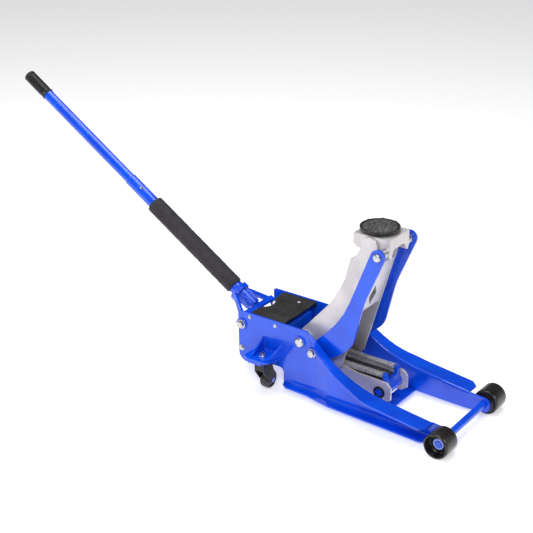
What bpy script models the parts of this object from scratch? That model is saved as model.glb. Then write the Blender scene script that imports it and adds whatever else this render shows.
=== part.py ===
"""Low-profile hydraulic trolley jack, raised, modelled in Blender 4.5.

Metres, +Z up, +X towards the front axle, -Y is the jack's right-hand side.
The lift linkage is a parallelogram: the arm turns on ARM_PIVOT, the radius links on
LINK_PIVOT, and both carry the saddle bracket, which therefore stays level.
"""
import math

import bmesh
import bpy
from mathutils import Vector

# --- fits -------------------------------------------------------------------------------
GAP = 0.0003            # between two pieces that are fixed to each other
RUN = 0.0005            # radial play of a turning or sliding fit
SIDE_PLAY = 0.0006      # end play beside a turning piece

# --- driving dimensions -----------------------------------------------------------------
WHEEL_R = 0.0340                    # front wheels
AXLE_R = 0.010
WHEEL_W = 0.057
PLATE_T = 0.005                     # side plate
BEND_R = 0.0065                     # outside of the bend into the top flange
PLATE_REAR_Y = 0.086                # outer face, rear half
PLATE_JOG = 0.012                   # how far the front half steps out
PLATE_REAR_IN = PLATE_REAR_Y - PLATE_T
WHEEL_IN = PLATE_REAR_Y + PLATE_JOG + 0.007
WHEEL_OUT = WHEEL_IN + WHEEL_W      # half the overall width, over the front wheels
HUB_FACE = WHEEL_OUT - 0.0215       # floor of the recess in a front wheel
JOG_X = (-0.415, -0.340)
REAR_X, TOP_Z = -0.652, 0.198
NOSE_X = 0.019
FLANGE_TIP_X = -0.042               # front end of the top flange
FLANGE_Y = PLATE_REAR_Y + 0.062     # outer edge of the top flange at the front
ARCH_X = (-0.590, -0.503)           # opening in the plate over the caster wheel
LOW_X = -0.509                      # where the plate's lower edge is 20 mm up
ARCH_Z = 0.066

ARM_PIVOT = (-0.451, 0.158)         # x, z
LINK_PIVOT = (-0.411, 0.139)
LINK_TOP = (-0.225, 0.455)
ARM_TIP = (LINK_TOP[0] + ARM_PIVOT[0] - LINK_PIVOT[0],
           LINK_TOP[1] + ARM_PIVOT[1] - LINK_PIVOT[1])
LEVER_PIN = (-0.385, 0.090)         # on the arm, below its pivot

CROSS_PIN = (-0.229, 0.062)         # crosshead pin
SLOT_SHIFT = 0.0015                 # slot centre ahead of the lever pin: the pin's path is an arc
RAM_Z, RAM_R = 0.082, 0.022
CYL_FRONT, CYL_REAR, CYL_R = -0.3765, -0.560, RAM_R + 0.0045
SPRING_Z, SPRING_R, WIRE_R = 0.105, 0.0095, 0.0014
SPRING_Y = math.sqrt((CYL_R + SPRING_R + 0.00125) ** 2 - (SPRING_Z - RAM_Z) ** 2)
SPRING_REAR = -0.500

DRAG_IN = round(SPRING_Y + SPRING_R + 0.0007, 4)    # drag links between crosshead and lever
DRAG_T = 0.007
ARM_T = 0.006                       # arm side walls
ARM_OUT = DRAG_IN + DRAG_T + 0.0035 + ARM_T
LINK_IN, LINK_T, LINK_STEP = ARM_OUT + 0.014, 0.006, 0.006

SADDLE = (-0.268, 0.505)            # x and height of the top
SADDLE_R = 0.052
BRACKET_TOP, BRACKET_T = 0.491, 0.006
BRACKET_OUT = ARM_OUT - ARM_T - 0.0015

CASTER = (-0.547, PLATE_REAR_Y + 0.035)            # swivel axis, x and |y|
CASTER_R, CASTER_W, TRAIL = 0.026, 0.022, 0.026
SHELF_Z, SHELF_T = 0.105, 0.005

YOKE_PIVOT = (-0.640, 0.160)
HANDLE_TILT = math.radians(33.2)    # above horizontal, towards the rear
HANDLE_END = 0.987                  # from the yoke pivot along the handle
LOWER_R, UPPER_R = 0.0175, 0.0155   # the two tubes
SOCKET = (0.027, 0.100, LOWER_R + 0.0030)    # yoke socket: start, end, radius
FOAM = (0.103, 0.437, LOWER_R + 0.0075)
JOINT_S, BUTTON_S = 0.537, 0.492
GRIP = (HANDLE_END - 0.090, HANDLE_END, UPPER_R + 0.0025)
UPPER_END = HANDLE_END - 0.012

# --- materials: colour, roughness, metallic ---------------------------------------------
FINISH = {
    "blue_paint": ((0.010, 0.075, 0.80), 0.25, 0.0),
    "zinc": ((0.74, 0.73, 0.76), 0.35, 0.9),
    "bright_steel": ((0.85, 0.85, 0.86), 0.25, 1.0),
    "cast_steel": ((0.20, 0.20, 0.21), 0.45, 0.8),
    "black_nylon": ((0.020, 0.020, 0.022), 0.45, 0.0),
    "black_enamel": ((0.030, 0.030, 0.032), 0.35, 0.0),
    "foam": ((0.060, 0.065, 0.070), 0.95, 0.0),
    "rubber": ((0.025, 0.025, 0.027), 0.75, 0.0),
}


def finish(name):
    """The named Principled material, made on first use."""
    found = bpy.data.materials.get(name)
    if found:
        return found
    colour, rough, metal = FINISH[name]
    made = bpy.data.materials.new(name)
    made.use_nodes = True
    shader = made.node_tree.nodes["Principled BSDF"]
    shader.inputs["Base Color"].default_value = (*colour, 1.0)
    shader.inputs["Roughness"].default_value = rough
    shader.inputs["Metallic"].default_value = metal
    return made


# --- outlines ---------------------------------------------------------------------------
def arc(centre, radius, start, end, steps):
    """Points on a circle from one angle to another, in degrees."""
    return [(centre[0] + radius * math.cos(math.radians(start + (end - start) * i / steps)),
             centre[1] + radius * math.sin(math.radians(start + (end - start) * i / steps)))
            for i in range(steps + 1)]


def rounded(corners, closed=True, step=20.0):
    """A polygon of (x, z, corner radius) with each corner turned into an arc."""
    points, count = [], len(corners)
    for i, (x, z, radius) in enumerate(corners):
        end = not closed and i in (0, count - 1)
        if radius <= 0 or end:
            points.append((x, z))
            continue
        here = Vector((x, z))
        back = Vector(corners[i - 1][:2]) - here
        ahead = Vector(corners[(i + 1) % count][:2]) - here
        turn = math.pi - back.angle(ahead)
        reach = min(radius * math.tan(turn / 2), back.length * 0.48, ahead.length * 0.48)
        true_radius = reach / math.tan(turn / 2)
        middle = here + (back.normalized() + ahead.normalized()).normalized() * (
            true_radius / math.cos(turn / 2))
        first = here + back.normalized() * reach - middle
        last = here + ahead.normalized() * reach - middle
        a0 = math.atan2(first.y, first.x)
        sweep = (math.atan2(last.y, last.x) - a0 + math.pi) % (2 * math.pi) - math.pi
        steps = max(2, math.ceil(math.degrees(abs(sweep)) / step))
        points += [(middle.x + true_radius * math.cos(a0 + sweep * k / steps),
                    middle.y + true_radius * math.sin(a0 + sweep * k / steps))
                   for k in range(steps + 1)]
    return points


def ribbon(path, left, right):
    """A closed outline around an open path, offset to each side of it."""
    edges = ([], [])
    for i, here in enumerate(path):
        a = Vector(path[max(i - 1, 0)])
        b = Vector(path[min(i + 1, len(path) - 1)])
        normal = Vector((a.y - b.y, b.x - a.x)).normalized()
        edges[0].append(tuple(Vector(here) + normal * left))
        edges[1].append(tuple(Vector(here) - normal * right))
    return edges[0] + edges[1][::-1]


def circle(centre, radius, steps=24):
    return arc(centre, radius, 0, 360 * (steps - 1) / steps, steps - 1)


# --- solids -----------------------------------------------------------------------------
LIFT = {"X": lambda u, v, w: (w, u, v), "Y": lambda u, v, w: (u, w, v), "Z": lambda u, v, w: (u, v, w)}


def prism(outline, low, high, holes=(), axis="Y"):
    """An outline with holes, extruded along an axis. Outlines are (x, z), (y, z) or (x, y)."""
    bm = bmesh.new()
    edges = []
    for loop in (outline, *holes):
        ring = [bm.verts.new(LIFT[axis](u, v, low)) for u, v in loop]
        edges += [bm.edges.new((a, b)) for a, b in zip(ring, ring[1:] + ring[:1])]
    bmesh.ops.triangle_fill(bm, edges=edges, use_beauty=True)
    grown = bmesh.ops.extrude_face_region(bm, geom=list(bm.faces), use_keep_orig=True)
    moved = [v for v in grown["geom"] if isinstance(v, bmesh.types.BMVert)]
    bmesh.ops.translate(bm, verts=moved, vec=LIFT[axis](0, 0, high - low))
    bmesh.ops.recalc_face_normals(bm, faces=bm.faces)
    return bm


def box(x0, x1, y0, y1, z0, z1):
    return prism([(x0, z0), (x1, z0), (x1, z1), (x0, z1)], y0, y1)


def frame_of(axis):
    """Two unit vectors square to an axis."""
    axis = Vector(axis).normalized()
    side = Vector((0, 1, 0)) if abs(axis.y) < 0.9 else Vector((0, 0, 1))
    side = (side - axis * side.dot(axis)).normalized()
    return axis, side, axis.cross(side)


def turned(profile, origin, axis, steps=24):
    """A profile of (distance along the axis, radius) turned about the axis."""
    axis, side, _ = frame_of(axis)
    bm = bmesh.new()
    ring = [bm.verts.new(Vector(origin) + axis * t + side * r) for t, r in profile]
    pairs = list(zip(ring, ring[1:]))
    if min(r for _, r in profile) > 1e-9:
        pairs.append((ring[-1], ring[0]))
    edges = [bm.edges.new(p) for p in pairs]
    bmesh.ops.spin(bm, geom=ring + edges, cent=origin, axis=axis, dvec=(0, 0, 0),
                   angle=2 * math.pi, steps=steps, use_merge=True)
    bmesh.ops.remove_doubles(bm, verts=bm.verts, dist=1e-7)
    bmesh.ops.dissolve_degenerate(bm, dist=1e-7, edges=bm.edges)
    bmesh.ops.recalc_face_normals(bm, faces=bm.faces)
    return bm


def rod(origin, axis, start, end, radius, steps=24):
    return turned([(start, 0), (start, radius), (end, radius), (end, 0)], origin, axis, steps)


def loft(sections):
    """Joins matching closed sections into a solid with a cap at each end."""
    bm = bmesh.new()
    rings = [[bm.verts.new(p) for p in section] for section in sections]
    count = len(rings[0])
    for back, ahead in zip(rings, rings[1:]):
        for k in range(count):
            bm.faces.new((back[k], back[(k + 1) % count], ahead[(k + 1) % count], ahead[k]))
    bm.faces.new(rings[0])
    bm.faces.new(rings[-1])
    bmesh.ops.triangulate(bm, faces=bm.faces)
    bmesh.ops.recalc_face_normals(bm, faces=bm.faces)
    return bm


def hull(points):
    bm = bmesh.new()
    for p in points:
        bm.verts.new(p)
    bmesh.ops.convex_hull(bm, input=bm.verts)
    loose = [v for v in bm.verts if not v.link_faces]
    bmesh.ops.delete(bm, geom=loose, context="VERTS")
    bmesh.ops.recalc_face_normals(bm, faces=bm.faces)
    return bm


def ring_points(centre, axis, radius, steps=12):
    axis, side, other = frame_of(axis)
    return [Vector(centre) + (side * math.cos(a) + other * math.sin(a)) * radius
            for a in (2 * math.pi * i / steps for i in range(steps))]


def hexagon(origin, axis, start, end, across):
    """A hexagonal head of a given size across its flats."""
    _, side, other = frame_of(axis)
    axis = Vector(axis).normalized()
    bm = bmesh.new()
    base = [bm.verts.new(Vector(origin) + axis * start
                         + (side * math.cos(a) + other * math.sin(a)) * across / math.sqrt(3))
            for a in (math.pi * i / 3 for i in range(6))]
    face = bm.faces.new(base)
    grown = bmesh.ops.extrude_face_region(bm, geom=[face], use_keep_orig=True)
    moved = [v for v in grown["geom"] if isinstance(v, bmesh.types.BMVert)]
    bmesh.ops.translate(bm, verts=moved, vec=axis * (end - start))
    bmesh.ops.recalc_face_normals(bm, faces=bm.faces)
    return bm


def combine(base, others, operation):
    """A Boolean of bmeshes, worked out by the exact solver."""
    def hold(bm):
        mesh = bpy.data.meshes.new("work")
        bm.to_mesh(mesh)
        bm.free()
        item = bpy.data.objects.new("work", mesh)
        bpy.context.scene.collection.objects.link(item)
        return item

    held = hold(base)
    tools = [hold(o) for o in others]
    for tool in tools:
        step = held.modifiers.new("step", "BOOLEAN")
        step.operation = operation
        step.solver = "EXACT"
        step.object = tool
    bpy.context.view_layer.update()
    evaluated = held.evaluated_get(bpy.context.evaluated_depsgraph_get())
    result = bmesh.new()
    result.from_mesh(evaluated.to_mesh())
    for item in (held, *tools):
        bpy.data.objects.remove(item)
    bmesh.ops.remove_doubles(result, verts=result.verts, dist=2e-6)
    bmesh.ops.dissolve_degenerate(result, dist=2e-6, edges=result.edges)
    bmesh.ops.dissolve_limit(result, angle_limit=math.radians(0.4), verts=result.verts,
                             edges=result.edges, use_dissolve_boundaries=False)
    bmesh.ops.triangulate(result, faces=result.faces)
    return result


def fuse(base, *others):
    return combine(base, others, "UNION")


def carve(base, *others):
    return combine(base, others, "DIFFERENCE")


def piece(name, bm, look, origin=(0, 0, 0), smooth=True):
    """Makes the named object, with its origin where it turns or slides."""
    bmesh.ops.translate(bm, verts=bm.verts, vec=-Vector(origin))
    mesh = bpy.data.meshes.new(name)
    bm.to_mesh(mesh)
    bm.free()
    mesh.materials.append(finish(look))
    if smooth:
        mesh.shade_smooth()
        mesh.set_sharp_from_angle(angle=math.radians(32))
    item = bpy.data.objects.new(name, mesh)
    item.location = origin
    bpy.context.scene.collection.objects.link(item)
    return item


def at(point, y=0.0):
    return (point[0], y, point[1])


# --- frame ------------------------------------------------------------------------------
def plate_step(x):
    """How far the side plate stands outside its rear half at x."""
    t = min(max((x - JOG_X[0]) / (JOG_X[1] - JOG_X[0]), 0.0), 1.0)
    return PLATE_JOG * t * t * (3 - 2 * t)


RAIL = [(-0.424, 0.195, 0.0), (-0.2706, 0.0873, 0.350), (FLANGE_TIP_X, 0.0575, 0.0)]


def side_plate(name, side):
    """A pressed plate: flat wall with a jog, a wide top flange and a bottom flange."""
    wall_outline = rounded([
        (REAR_X, TOP_Z, 0.006), (-0.426, 0.1955, 0.010), (-0.4205, 0.1875, 0.004),
        (-0.2735, 0.0823, 0.350), (FLANGE_TIP_X - 0.0045, 0.0520, 0),
        (FLANGE_TIP_X - 0.0035, 0.0575, 0), (-0.026, 0.0552, 0.010),
        (NOSE_X, WHEEL_R + 0.018, 0.018), (NOSE_X, WHEEL_R - 0.022, 0.018),
        (-0.050, 0.0085, 0), (ARCH_X[1], 0.0198, 0.001), (ARCH_X[1], ARCH_Z, 0.014),
        (ARCH_X[0], ARCH_Z, 0.014), (ARCH_X[0], 0.049, 0.003), (REAR_X + 0.002, 0.049, 0.026)],
        step=15)
    holes = [circle((0, WHEEL_R), AXLE_R + GAP, 24),
             circle(ARM_PIVOT, 0.013 + GAP, 24),
             circle(LINK_PIVOT, 0.008 + GAP, 20),
             circle(YOKE_PIVOT, 0.008 + GAP, 20),
             circle((-0.640, 0.088), 0.005 + GAP, 16),
             circle((-0.613, 0.187), 0.003 + GAP, 12),
             circle((-0.5295, 0.183), 0.003 + GAP, 12)]
    wall = prism(wall_outline, 0.0, PLATE_T, holes)
    for k in range(5):
        cut = JOG_X[0] + (JOG_X[1] - JOG_X[0]) * k / 4
        bmesh.ops.bisect_plane(wall, geom=wall.verts[:] + wall.edges[:] + wall.faces[:],
                               plane_co=(cut, 0, 0), plane_no=(1, 0, 0), dist=1e-7)
    inner = PLATE_REAR_Y - PLATE_T
    for v in wall.verts:
        v.co.y += inner + plate_step(v.co.x)

    rail = rounded(RAIL, closed=False, step=3.5)
    top = rail_flange(rail, inner)
    low = low_flange(inner)
    body = fuse(wall, top, low)
    if side < 0:
        bmesh.ops.scale(body, vec=(1, -1, 1), verts=body.verts)
        bmesh.ops.reverse_faces(body, faces=body.faces)
    return piece(name, body, "blue_paint")


def flange_edge(x):
    """|y| of the outer edge of the top flange."""
    y = PLATE_REAR_Y
    knots = [(-0.424, y + 0.002), (-0.400, y + 0.022), (-0.375, y + 0.036), (-0.340, y + 0.043),
             (-0.295, y + 0.046), (-0.262, y + 0.052), (-0.225, y + 0.061), (-0.190, FLANGE_Y),
             (FLANGE_TIP_X - 0.016, FLANGE_Y), (FLANGE_TIP_X, FLANGE_Y - 0.014)]
    for (x0, y0), (x1, y1) in zip(knots, knots[1:]):
        if x <= x1:
            return y0 + (y1 - y0) * (x - x0) / (x1 - x0)
    return knots[-1][1]


def rail_flange(rail, inner):
    """The top flange: a strip along the rail whose width grows towards the front."""
    xs = sorted({round(p[0], 6) for p in rail}
                | {-0.400, -0.375, -0.340, -0.262, FLANGE_TIP_X - 0.016, FLANGE_TIP_X - 0.006})
    bend = arc((BEND_R, -BEND_R), BEND_R, 180, 90, 4)
    sections = []
    for x in xs:
        z = rail_height(rail, x) + 0.0006
        y_in = inner + plate_step(x) - GAP
        out = max(flange_edge(x) - y_in, PLATE_T + 0.007)
        section = [(0, -2 * PLATE_T)] + bend + [
            (out, 0), (out, -PLATE_T), (PLATE_T, -PLATE_T), (PLATE_T, -2 * PLATE_T)]
        sections.append([(x, y_in + y, z + h) for y, h in section])
    return loft(sections)


def rail_height(rail, x):
    for (x0, z0), (x1, z1) in zip(rail, rail[1:]):
        if x <= x1:
            return z0 + (z1 - z0) * (x - x0) / (x1 - x0)
    return rail[-1][1]


def low_flange(inner):
    """The bottom flange, with its bend, from the caster arch to the front wheel."""
    bend = [(0.0035, 0.017), (0.0062, 0.0095), (0.0100, 0.0062), (0.0150, 0.0050)]
    sections = []
    for x in (-0.498, -0.484, JOG_X[0], -0.378, JOG_X[1], -0.200, -0.062, -0.052):
        base = 0.020 - 0.0115 * (x - LOW_X) / (-0.050 - LOW_X)
        wall = inner + plate_step(x)
        end_cut = 0.009 if x < -0.490 else 0.008 if x > -0.055 else 0.0
        reach = PLATE_T + 0.021 + 0.010 * (x + 0.498) / 0.436 - end_cut
        section = [(0.0012, 0.017)] + bend + [(reach, 0.0050), (reach, GAP), (0.0012, GAP)]
        sections.append([(x, wall + y, base + z) for y, z in section])
    return loft(sections)


def caster_bracket(name, side):
    """A shelf with a rounded outer rim and a gusset at each end, welded to the side plate."""
    y0, y1 = PLATE_REAR_Y + GAP, CASTER[1] + 0.033
    x0, x1 = CASTER[0] - 0.046, CASTER[0] + 0.050
    shelf = prism(rounded([
        (x0 + 0.006, y0, 0), (x1, y0, 0), (x1 - 0.015, y1, 0.016), (x0, y1, 0.020)], step=18),
        SHELF_Z - SHELF_T, SHELF_Z, [circle(CASTER, 0.006 + GAP, 20)], axis="Z")
    rim = box(x0 + 0.021, x1 - 0.033, y1 - 0.0050, y1 - 0.0005, SHELF_Z - 0.013, SHELF_Z - 0.002)
    rear = prism([(y0, SHELF_Z - 0.0040), (y1 - 0.010, SHELF_Z - 0.0040),
                  (y1 - 0.010, SHELF_Z + 0.003), (y0, 0.144)],
                 CASTER[0] - 0.023, CASTER[0] - 0.018, axis="X")
    front = hull([(x1 - t - lean, y, z) for t in (0.002, 0.007)
                  for y, z, lean in ((y0, SHELF_Z - 0.004, 0), (y0, 0.142, 0),
                                     (y1 - 0.008, SHELF_Z - 0.004, 0.015),
                                     (y1 - 0.008, SHELF_Z + 0.003, 0.015))])
    body = fuse(shelf, rim, rear, front)
    if side < 0:
        bmesh.ops.scale(body, vec=(1, -1, 1), verts=body.verts)
        bmesh.ops.reverse_faces(body, faces=body.faces)
    return piece(name, body, "blue_paint")


def frame_pieces():
    for name, side in (("right", -1), ("left", 1)):
        side_plate(f"side_plate_{name}", side)
        caster_bracket(f"caster_bracket_{name}", side)
    end = WHEEL_OUT - 0.016
    piece("front_axle", turned([(-end, 0), (-end, AXLE_R - 0.001), (0.001 - end, AXLE_R),
                                (end - 0.001, AXLE_R), (end, AXLE_R - 0.001), (end, 0)],
                               (0, 0, WHEEL_R), (0, 1, 0), 24), "blue_paint")
    reach = PLATE_REAR_Y - PLATE_T + PLATE_JOG - GAP
    piece("front_cross_plate", box(-0.238, -0.197, -reach, reach, 0.0125, 0.0175), "blue_paint")
    inner = PLATE_REAR_Y - PLATE_T - GAP
    piece("rear_tie_bar", turned([(-inner, 0.0048 + GAP), (-inner, 0.010), (inner, 0.010),
                                  (inner, 0.0048 + GAP)], (-0.640, 0, 0.088), (0, 1, 0), 20),
          "blue_paint")
    for name, side in (("right", -1), ("left", 1)):
        axis = (0, side, 0)
        face = PLATE_REAR_Y
        piece(f"tie_bolt_{name}", bolt(at((-0.640, 0.088)), axis, face, 0.012, 0.0048,
                                       face - 0.045, 0.0085), "bright_steel")
        piece(f"yoke_bolt_{name}", bolt(at(YOKE_PIVOT), axis, face + 0.003, 0.019, 0.008,
                                        LINK_IN - 0.0055, 0.013), "bright_steel")
        piece(f"link_bolt_{name}", bolt(at(LINK_PIVOT), axis, face + plate_step(-0.395) + 0.0003,
                                        0.019, 0.008, LINK_IN - 0.0025, 0.0125), "bright_steel")
        piece(f"arm_cap_{name}", turned([
            (face + 0.0003, 0), (face + 0.0003, 0.0132), (face + 0.004, 0.0132),
            (face + 0.0072, 0.0105), (face + 0.0082, 0.0060), (face + 0.0082, 0)],
            at(ARM_PIVOT), axis, 28), "bright_steel")
        for spot, (x, z) in (("rear", (-0.613, 0.187)), ("front", (-0.5295, 0.183))):
            head = face + 0.0003
            piece(f"cover_screw_{name}_{spot}", turned([
                (face - 0.0095, 0), (face - 0.0095, 0.003), (head, 0.003), (head, 0.006),
                (head + 0.002, 0.0052), (head + 0.0036, 0.0025), (head + 0.0036, 0)],
                (x, 0, z), axis, 12), "bright_steel")
        piece(f"wheel_ring_{name}", turned([
            (HUB_FACE + 0.0023, AXLE_R + GAP), (HUB_FACE + 0.0023, AXLE_R + 0.0045),
            (HUB_FACE + 0.0040, AXLE_R + 0.0045), (HUB_FACE + 0.0040, AXLE_R + GAP)],
            (0, 0, WHEEL_R), axis, 24), "bright_steel")
    shaft = PLATE_REAR_Y - GAP
    piece("arm_shaft", rod(at(ARM_PIVOT), (0, 1, 0), -shaft, shaft, 0.013, 24), "bright_steel")


def bolt(origin, axis, face, across, shank_r, shank_from, washer_r):
    """A hex bolt whose washer bears on a face; the shank runs inwards to shank_from."""
    seat = face + GAP
    body = turned([(shank_from, 0), (shank_from, shank_r), (seat, shank_r), (seat, washer_r),
                   (seat + 0.0016, washer_r), (seat + 0.0016, 0)], origin, axis, 20)
    head = hexagon(origin, axis, seat + 0.0008, seat + 0.0016 + across * 0.42, across)
    return fuse(body, head)


# --- wheels -----------------------------------------------------------------------------
def front_wheels():
    for name, side in (("right", -1), ("left", 1)):
        r = WHEEL_R
        profile = [(WHEEL_IN, AXLE_R + RUN), (WHEEL_IN, r - 0.004), (WHEEL_IN + 0.003, r),
                   (WHEEL_OUT - 0.0035, r), (WHEEL_OUT - 0.001, r - 0.0012),
                   (WHEEL_OUT, r - 0.0035), (WHEEL_OUT, r - 0.0055),
                   (WHEEL_OUT - 0.002, r - 0.0070), (HUB_FACE, r - 0.0080),
                   (HUB_FACE, AXLE_R + 0.0065), (HUB_FACE + 0.0019, AXLE_R + 0.0055),
                   (HUB_FACE + 0.0019, AXLE_R + RUN)]
        piece(f"front_wheel_{name}", turned(profile, (0, 0, r), (0, side, 0), 36),
              "black_nylon", origin=(0, 0, r))


def casters():
    """Swivel forks with trailing wheels; both trail towards the middle of the jack."""
    for name, side in (("right", -1), ("left", 1)):
        x, y = CASTER[0], side * CASTER[1]
        top = SHELF_Z - SHELF_T - SIDE_PLAY
        inward = -side
        axle = (x, y + inward * TRAIL, CASTER_R)
        leg = [(y + inward * t, z) for t, z in rounded([
            (-0.015, top - 0.0005, 0), (0.016, top - 0.0005, 0), (TRAIL + 0.012, CASTER_R + 0.006, 0.010),
            (TRAIL + 0.006, CASTER_R - 0.011, 0.010), (TRAIL - 0.010, CASTER_R - 0.009, 0.010),
            (-0.015, 0.060, 0.006)], step=30)]
        half = CASTER_W / 2 + 0.0016
        legs = [prism(leg, x + s * half if s > 0 else x - half - 0.003,
                      x + half + 0.003 if s > 0 else x - half,
                      [circle((axle[1], axle[2]), 0.0045 + GAP, 16)], axis="X") for s in (1, -1)]
        crown = prism(circle((x, y), 0.0195, 24), top - 0.006, top,
                      [circle((x, y), 0.006 + RUN, 20)], axis="Z")
        web_y = sorted((y - inward * 0.0145, y - inward * 0.0115))
        web = box(x - half - 0.002, x + half + 0.002, web_y[0], web_y[1], 0.064, top - 0.001)
        piece(f"caster_fork_{name}", fuse(legs[0], crown, legs[1], web), "black_enamel",
              origin=(x, y, top))
        r, w = CASTER_R, CASTER_W / 2
        piece(f"caster_wheel_{name}", turned([
            (-w, 0.0045 + RUN), (-w, 0.011), (-w + 0.002, 0.0125), (-w + 0.002, r - 0.006),
            (-w, r - 0.004), (-w + 0.003, r), (w - 0.003, r), (w, r - 0.004),
            (w - 0.002, r - 0.006), (w - 0.002, 0.0125), (w, 0.011), (w, 0.0045 + RUN)],
            axle, (1, 0, 0), 32), "black_nylon", origin=axle)
        end = half + 0.003 + GAP
        piece(f"caster_axle_{name}", turned([
            (-end - 0.003, 0), (-end - 0.003, 0.005), (-end - 0.0015, 0.0065), (-end, 0.0065),
            (-end, 0.0045), (end, 0.0045), (end, 0.0065), (end + 0.0015, 0.0065),
            (end + 0.003, 0.005), (end + 0.003, 0)], axle, (1, 0, 0), 16), "zinc", origin=axle)
        nut = top - 0.006 - SIDE_PLAY
        stem = turned([(nut - 0.006, 0), (nut - 0.006, 0.0105), (nut, 0.0105), (nut, 0.006),
                       (SHELF_Z + GAP, 0.006), (SHELF_Z + GAP, 0.0105), (SHELF_Z + 0.002, 0.0105),
                       (SHELF_Z + 0.002, 0)], (x, y, 0), (0, 0, 1), 20)
        piece(f"king_bolt_{name}", fuse(stem, hexagon((x, y, 0), (0, 0, 1), SHELF_Z + 0.001,
                                                      SHELF_Z + 0.009, 0.0165)), "bright_steel")


# --- lift linkage -----------------------------------------------------------------------
REAR_EDGE = [(-0.4635, 0.1765, 0), (-0.3735, 0.279, 0.170), (-0.333, 0.352, 0.160),
             (-0.3165, 0.418, 0)]
FRONT_EDGE = [(-0.3003, 0.2711), (-0.2590, 0.4070)]


def lift_arm():
    """Two curved side walls with a rear web, a lower front web, a hub and lever studs."""
    wall = (arc(ARM_PIVOT, 0.027, 235, 133, 6)
            + rounded(REAR_EDGE[1:3], closed=False)
            + rounded([(-0.333, 0.352, 0), (-0.3165, 0.418, 0.004), (-0.300, 0.437, 0.010),
                       (-0.290, 0.456, 0)], closed=False)[1:]
            + arc((-0.2655, 0.4655), 0.0245, 165, 5, 9)
            + rounded([(-0.242, 0.440, 0), (-0.338, 0.112, 0.024), (-0.366, 0.079, 0)],
                      closed=False)
            + arc(LEVER_PIN, 0.019, -55, -160, 5))
    holes = [circle(ARM_PIVOT, 0.0205, 24)]
    thin = ARM_OUT - ARM_T
    walls = [prism(wall, *sorted((s * thin, s * ARM_OUT)), holes) for s in (-1, 1)]
    rear = prism(ribbon(rounded(REAR_EDGE, closed=False, step=9), 0.0045, 0.0020),
                 -thin - 0.002, thin + 0.002)
    front = prism(ribbon(FRONT_EDGE, 0.0, 0.005), -thin - 0.002, thin + 0.002)
    along = (Vector(FRONT_EDGE[1]) - Vector(FRONT_EDGE[0])).normalized()
    spot = Vector((-0.2888, 0.3085))
    diamond = hull([Vector((spot.x + along.x * a + n * along.y, y, spot.y + along.y * a - n * along.x))
                    for n in (-0.02, 0.02)
                    for a, y in ((0.031, 0.0), (0.0, 0.018), (-0.031, 0.0), (0.0, -0.018))])
    front = carve(front, diamond)
    hub = turned([(-ARM_OUT - 0.008, 0.013 + RUN), (-ARM_OUT - 0.008, 0.0225),
                  (ARM_OUT + 0.008, 0.0225), (ARM_OUT + 0.008, 0.013 + RUN)],
                 at(ARM_PIVOT), (0, 1, 0), 24)
    studs = []
    for s in (-1, 1):
        studs.append(rod(at(LEVER_PIN), (0, s, 0), DRAG_IN + 0.0005, thin + 0.003, 0.008, 20))
        studs.append(rod(at(ARM_TIP), (0, s, 0), 0.038, thin + 0.003, 0.009, 20))
    body = fuse(walls[0], hub, walls[1], rear, front, *studs)
    return piece("lift_arm", body, "zinc", origin=at(ARM_PIVOT))


def radius_link(name, side):
    """A swept flat link outside the arm, stepped outwards above its lower eye."""
    outline = (arc(LINK_TOP, 0.0205, 150, -25, 8)
               + rounded([(-0.207, 0.447, 0), (-0.2610, 0.318, 0.300), (-0.292, 0.189, 0.060),
                          (-0.345, 0.142, 0.060), (-0.392, 0.119, 0)], closed=False, step=12)[1:]
               + arc(LINK_PIVOT, 0.0205, -60, -230, 8)
               + rounded([(-0.424, 0.155, 0), (-0.3245, 0.255, 0.300), (-0.244, 0.462, 0)],
                         closed=False, step=8)[1:-1])
    link = prism(outline, 0.0, LINK_T, [circle(LINK_TOP, 0.009 + RUN, 20),
                                        circle(LINK_PIVOT, 0.008 + RUN, 20)])
    along = Vector((LINK_TOP[0] - LINK_PIVOT[0], 0, LINK_TOP[1] - LINK_PIVOT[1])).normalized()
    start, end = 0.038, 0.066
    for s in (start, end):
        bmesh.ops.bisect_plane(link, geom=link.verts[:] + link.edges[:] + link.faces[:],
                               plane_co=Vector(at(LINK_PIVOT)) + along * s, plane_no=along, dist=1e-7)
    for v in link.verts:
        s = (v.co - Vector(at(LINK_PIVOT, v.co.y))).dot(along)
        v.co.y += LINK_IN + LINK_STEP * min(max((s - start) / (end - start), 0.0), 1.0)
    if side < 0:
        bmesh.ops.scale(link, vec=(1, -1, 1), verts=link.verts)
        bmesh.ops.reverse_faces(link, faces=link.faces)
    return piece(name, link, "blue_paint", origin=at(LINK_PIVOT))


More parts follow.
